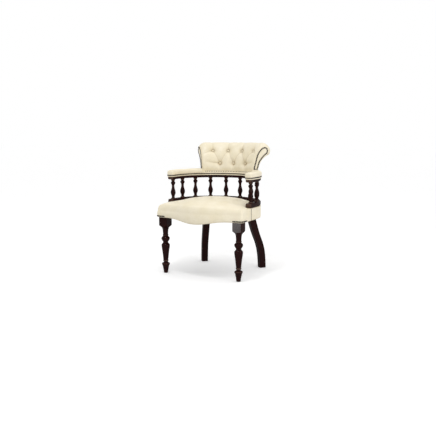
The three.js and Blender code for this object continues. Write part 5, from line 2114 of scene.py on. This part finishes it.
    def build(self) -> None:
        """The cushion, its cover, its facings and its seven buttons."""
        leather = Finish.CREAM_LEATHER
        cushion, cover = self.cushion(), self.outer_cover()
        self.wardrobe.dress(cushion, leather, "back_cushion", fill=0.85)
        self.wardrobe.dress(cover, leather, "back_outer_cover", fill=0.95)
        self.wardrobe.dress_pair(self.facing(), "back_facing", leather, fill=0.95)
        button = self.button()
        for number, tuft in enumerate(self.tufts(), 1):
            piece = Bench.copy(button, f"back_button_{number}_leather", self.button_place(tuft))
            self.wardrobe.dress(piece, leather, f"back_button_{number}")
        Bench.drop(button)


# Nails


@dataclass
class Nails:
    """Every row of domed nails, each made of copies of one nail."""

    shape: Horseshoe
    pads: ArmPads
    back: Back
    seat: SeatShape
    wardrobe: Wardrobe
    radius: float = 0.0039
    height: float = 0.0026
    arm_pitch: float = 0.0077
    arm_proud: float = 0.0002
    facing_pitch: float = 0.0102
    facing_level: float = 0.0034
    facing_size: float = 1.29
    back_pitch: float = 0.0128
    back_offset: float = -0.0121
    back_size: float = 0.72
    seam_pitch: float = 0.0076
    seam_margin: float = 0.004
    seam_first: float = 0.002
    seam_sunk: float = 0.0008
    seam_size: float = 0.8
    block_pitch: float = 0.01
    block_span: tuple = (0.154, 0.04)
    block_rise: float = 0.0085
    block_proud: float = 0.0006
    block_size: float = 1.25
    slope_step: float = 0.001
    line_points: int = 200

    def nail(self) -> Piece:
        """The domed head of one nail, with its face to +Z.

        Returns:
            The nail.
        """
        Bench.clear()
        bpy.ops.mesh.primitive_uv_sphere_add(segments=10, ring_count=8, radius=self.radius)
        piece = Bench.named("nail_model")
        flat = (1, 1, self.height / self.radius)
        with Bench.editing(piece):
            bpy.ops.mesh.bisect(plane_co=(0, 0, 0), plane_no=(0, 0, 1), clear_inner=True, use_fill=True)
            bpy.ops.mesh.select_all(action="SELECT")
            bpy.ops.transform.resize(value=flat, center_override=(0, 0, 0))
        return Bench.outwards(piece)

    @staticmethod
    def stand(spot: Points, out: Points, size: float = 1.0) -> Matrix:
        """What puts a nail on a spot, facing outwards."""
        return facing_out(spot, out) @ Matrix.Scale(size, 4)

    @staticmethod
    def spaced(line: Points, pitch: float) -> Points:
        """A line's points, one for each nail."""
        return even_line(line, int(round(lengths_along(line)[-1] / pitch)) + 1)

    def arm_row(self) -> list[Matrix]:
        """The row round the arms and the back, inside and out, along the arm rail's top edge.

        Returns:
            The nails' places.
        """
        pads = self.pads
        turn_in = pads.tip - pads.tip_reach * np.linspace(1, 0, 40)[1:] ** 1.6
        runs = np.concatenate([np.linspace(0, pads.tip - pads.tip_reach, 160), turn_in])
        wide = pads.skirt - draw_in(pads.tip_radius, pads.tip - runs) + self.arm_proud
        outer = self.shape.at(runs, wide, self.back.rail_top)
        inner = self.shape.at(runs, -wide, self.back.rail_top)[::-1]
        right = np.vstack([outer, inner])
        left = (right * (-1, 1, 1))[::-1]
        line = self.spaced(np.vstack([right, left[1:], right[:1]]), self.arm_pitch)[:-1]
        along = np.roll(line, -1, axis=0) - np.roll(line, 1, axis=0)
        return [self.stand(spot, (-way[1], way[0], 0)) for spot, way in zip(line, along)]

    def facing_row(self) -> list[Matrix]:
        """The loop on the right facing.

        Returns:
            The nails' places.
        """
        loop = smooth_line(
            self.back.in_section(self.back.teardrop), 2 * self.line_points, closed=True)
        place = self.back.facing_place()
        normal = place.to_3x3() @ Vector((0, 0, 1))
        return [self.stand(place @ Vector((x, y, self.facing_level)), normal, self.facing_size)
                for x, y in self.spaced(loop, self.facing_pitch)[:-1]]

    def back_row(self) -> list[Matrix]:
        """The row of separate nails along the foot of the back.

        Returns:
            The nails' places.
        """
        span = self.back.span * self.shape.radius - self.back.roll_rounding
        count = int(round(2 * span / self.back_pitch)) + 1
        low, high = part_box("back_nails")
        level = (low.z + high.z) / 2
        made = []
        for run in np.linspace(-span, span, count):
            out = self.shape.at(run, -1.0, level) - self.shape.at(run, 0.0, level)
            made.append(self.stand(self.shape.at(run, self.back_offset, level), out, self.back_size))
        return made

    def seam_row(self) -> list[Matrix]:
        """The small nails down the right side seam of the seat.

        Returns:
            The nails' places.
        """
        seat = self.seat
        x, y = seat.radius - self.seam_sunk, seat.centre - seat.seam_depth
        top = seat.rail_foot - self.seam_margin
        count = int((top - seat.cover_foot - self.seam_margin) / self.seam_pitch) + 1
        levels = (top - self.seam_first - number * self.seam_pitch for number in range(count))
        return [self.stand((x, y, z), (1, 0, 0), self.seam_size) for z in levels]

    def block_row(self) -> list[Matrix]:
        """The short row on the leather's lower edge over the right front block.

        Returns:
            The nails' places.
        """
        seat = self.seat
        arc, arm, flank, turn, _ = seat.spans
        on_side, on_front = self.block_span
        shares = np.linspace(
            seat.share_at(arc + on_side), seat.share_at(arc + arm + flank + turn + on_front),
            self.line_points)
        zero = np.zeros_like(shares)
        edge_x, edge_y = seat.outline(shares, zero)
        foot = seat.cover_foot - seat.apron(edge_x, edge_y)
        wall = seat.top_at(edge_x, edge_y, zero) - foot
        below, swell, above = (
            seat.wall_swell(edge_y, (self.block_rise + step) / wall)
            for step in (-self.slope_step, 0, self.slope_step))
        x, y = seat.outline(shares, -swell - self.block_proud)
        slope = (above - below) / (2 * self.slope_step)
        line = np.column_stack([x, y + seat.centre, foot + self.block_rise, slope])
        line = self.spaced(line, self.block_pitch)
        along = np.gradient(line, axis=0)
        flat = np.hypot(along[:, 0], along[:, 1])
        out = np.column_stack([-along[:, 1] / flat, along[:, 0] / flat, -line[:, 3]])
        return [self.stand(spot, way, self.block_size) for spot, way in zip(line[:, :3], out)]

    def build(self) -> None:
        """All the rows, each in place of its node where it has one."""
        model = self.nail()
        rows = [("arm_nail_heads", self.arm_row(), "arm_nails"),
                ("back_nail_heads", self.back_row(), "back_nails")]
        for side in Side:
            facing = [side.mirror @ place for place in self.facing_row()]
            lower = [side.mirror @ place for place in self.seam_row() + self.block_row()]
            rows += [(f"facing_nail_heads_{side.word}", facing, f"facing_nails_{side.word}"),
                     (f"seat_nail_heads_{side.word}", lower, None)]
        for name, places, node in rows:
            self.wardrobe.dress(Bench.joined(name, model, places), Finish.ANTIQUE_NAIL, node)
        Bench.drop(model)


# The studio


@dataclass(frozen=True)
class Lamp:
    """One square studio lamp: where it stands, its power, size and beam, and what it faces."""

    name: str
    place: tuple[float, float, float]
    power: float
    size: float
    aim: tuple[float, float, float] = (0.0, 0.0, 0.45)
    beam: float = math.pi

    def build(self) -> None:
        """Puts the lamp in the scene."""
        data = bpy.data.lights.new(self.name, "AREA")
        data.energy = self.power
        data.size = self.size
        data.spread = self.beam
        lamp = bpy.data.objects.new(self.name, data)
        lamp.location = self.place
        way = Vector(self.aim) - Vector(self.place)
        lamp.rotation_euler = way.to_track_quat("-Z", "Y").to_euler()
        bpy.context.scene.collection.objects.link(lamp)


@dataclass
class Studio:
    """The camera, the lamps and the pale floor."""

    camera_place: tuple = (1.84528, -3.48387, 0.89377)
    camera_pitch: float = math.radians(90 - 7.9029)
    camera_turn: float = math.radians(27.9618)
    lens: float = 50.0
    sensor: float = 36.0
    sun_strength: float = 0.75
    sun_tilt: tuple = (math.radians(-6), math.radians(9), 0.0)
    sun_width: float = math.radians(80)
    lamps: tuple[Lamp, ...] = (
        Lamp("overhead_lamp", (0.1, -1.2, 2.9), 15.0, 0.3),
        Lamp("left_lamp", (-1.9, -1.2, 1.4), 3.0, 0.25),
        Lamp("right_lamp", (2.6, -0.9, 1.0), 12.0, 0.8),
        Lamp("low_lamp", (-0.35, -1.5, 0.15), 0.013, 0.17, (0.262, -0.265, 0.3), math.radians(14)),
    )
    sky: float = 0.51
    floor_glow: float = 0.36
    floor_size: float = 60.0

    def build(self) -> None:
        """Makes the studio."""
        bpy.context.scene.view_settings.view_transform = "Standard"
        self._camera()
        self._world()
        self._sun()
        for lamp in self.lamps:
            lamp.build()
        self._floor()

    def _camera(self) -> None:
        """The camera at the photograph's place."""
        data = bpy.data.cameras.new("camera")
        data.lens = self.lens
        data.sensor_width = self.sensor
        camera = bpy.data.objects.new("camera", data)
        camera.location = self.camera_place
        camera.rotation_euler = (self.camera_pitch, 0, self.camera_turn)
        bpy.context.scene.collection.objects.link(camera)
        bpy.context.scene.camera = camera

    @staticmethod
    def _seen(graph: Graph) -> Value:
        """1 to the camera and to the gloss, and 0 to the light that falls on the chair.

        Args:
            graph: The graph of the sky or the floor.

        Returns:
            The value.
        """
        camera, glossy, through = (
            graph.node("ShaderNodeLightPath", {}, {}, f"Is {kind} Ray")
            for kind in ("Camera", "Glossy", "Transmission"))
        return camera.at_least(glossy).at_least(through)

    def _world(self) -> None:
        """A soft even sky that the camera and the gloss see as white."""
        graph = Graph(bpy.data.worlds.new("sky"))
        level = self._seen(graph) * (1 - self.sky) + self.sky
        bpy.context.scene.world = graph.finish(Color=(1.0, 1.0, 1.0), Strength=level)

    def _sun(self) -> None:
        """A wide soft light from above, the same all over the floor."""
        data = bpy.data.lights.new("overhead_light", "SUN")
        data.energy = self.sun_strength
        data.angle = self.sun_width
        lamp = bpy.data.objects.new("overhead_light", data)
        lamp.rotation_euler = self.sun_tilt
        bpy.context.scene.collection.objects.link(lamp)

    def _lift(self, graph: Graph) -> None:
        """Lets the camera and the gloss see the floor a little brighter, up to white.

        Args:
            graph: The floor's graph.
        """
        glow = graph.node("ShaderNodeEmission", {}, {"Strength": self.floor_glow})
        both = graph.node("ShaderNodeAddShader", {}, {0: graph.surface, 1: glow})
        mixed = graph.node("ShaderNodeMixShader", {}, {0: self._seen(graph), 1: graph.surface, 2: both})
        graph.put(graph.output.inputs["Surface"], mixed)

    def _floor(self) -> None:
        """A wide pale floor that keeps the chair's shadow."""
        floor = Bench.plane("floor", self.floor_size)
        graph = new_graph("pale_floor")
        cloud = graph.noise(0.8, 2.0)
        graph.finish(
            Base_Color=graph.mix(cloud, (0.825, 0.825, 0.825), (0.845, 0.845, 0.845)),
            Roughness=0.9, Specular_IOR_Level=0.1)
        self._lift(graph)
        floor.data.materials.append(graph.owner)


SOLIDS = {
    "seat_rail": Finish.BEECH, "corner_block": Finish.BEECH, "front_leg_bolt": Finish.ZINC_STEEL,
    "back_leg_bolt": Finish.ZINC_STEEL, "rail_screw": Finish.ZINC_STEEL,
    "webbing": Finish.JUTE_STRAP, "seat_foam": Finish.PALE_FOAM, "back_board": Finish.BIRCH_PLY,
}


def dress_solids(wardrobe: Wardrobe) -> None:
    """Gives the solids that stay from the frame their finishes.

    Args:
        wardrobe: The finishes.
    """
    for name in sorted(frame["nodes"]):
        for start, finish in SOLIDS.items():
            if name.startswith(start):
                wardrobe.dress_node(name, finish)


def main() -> None:
    """Builds the chair round its frame, piece by piece."""
    logging.basicConfig(level=logging.INFO, format="%(message)s")
    Studio().build()
    wardrobe = Wardrobe()
    shape = Horseshoe.of_frame()
    rails = Rails(shape, wardrobe)
    rails.build()
    Spindles(shape, wardrobe).build()
    front_legs = FrontLegs(wardrobe)
    front_legs.build()
    back_legs = BackLegs(shape, wardrobe)
    back_legs.build()
    seat = SeatShape(shape.centre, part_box("base_rail_back")[0].z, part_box("seat_side_cover")[0].z)
    Seat(seat, front_legs, back_legs, wardrobe).build()
    pads = ArmPads(shape, rails, wardrobe)
    pads.build()
    back = Back(shape, pads, wardrobe)
    back.build()
    Nails(shape, pads, back, seat, wardrobe).build()
    dress_solids(wardrobe)


if __name__ == "__main__":
    main()
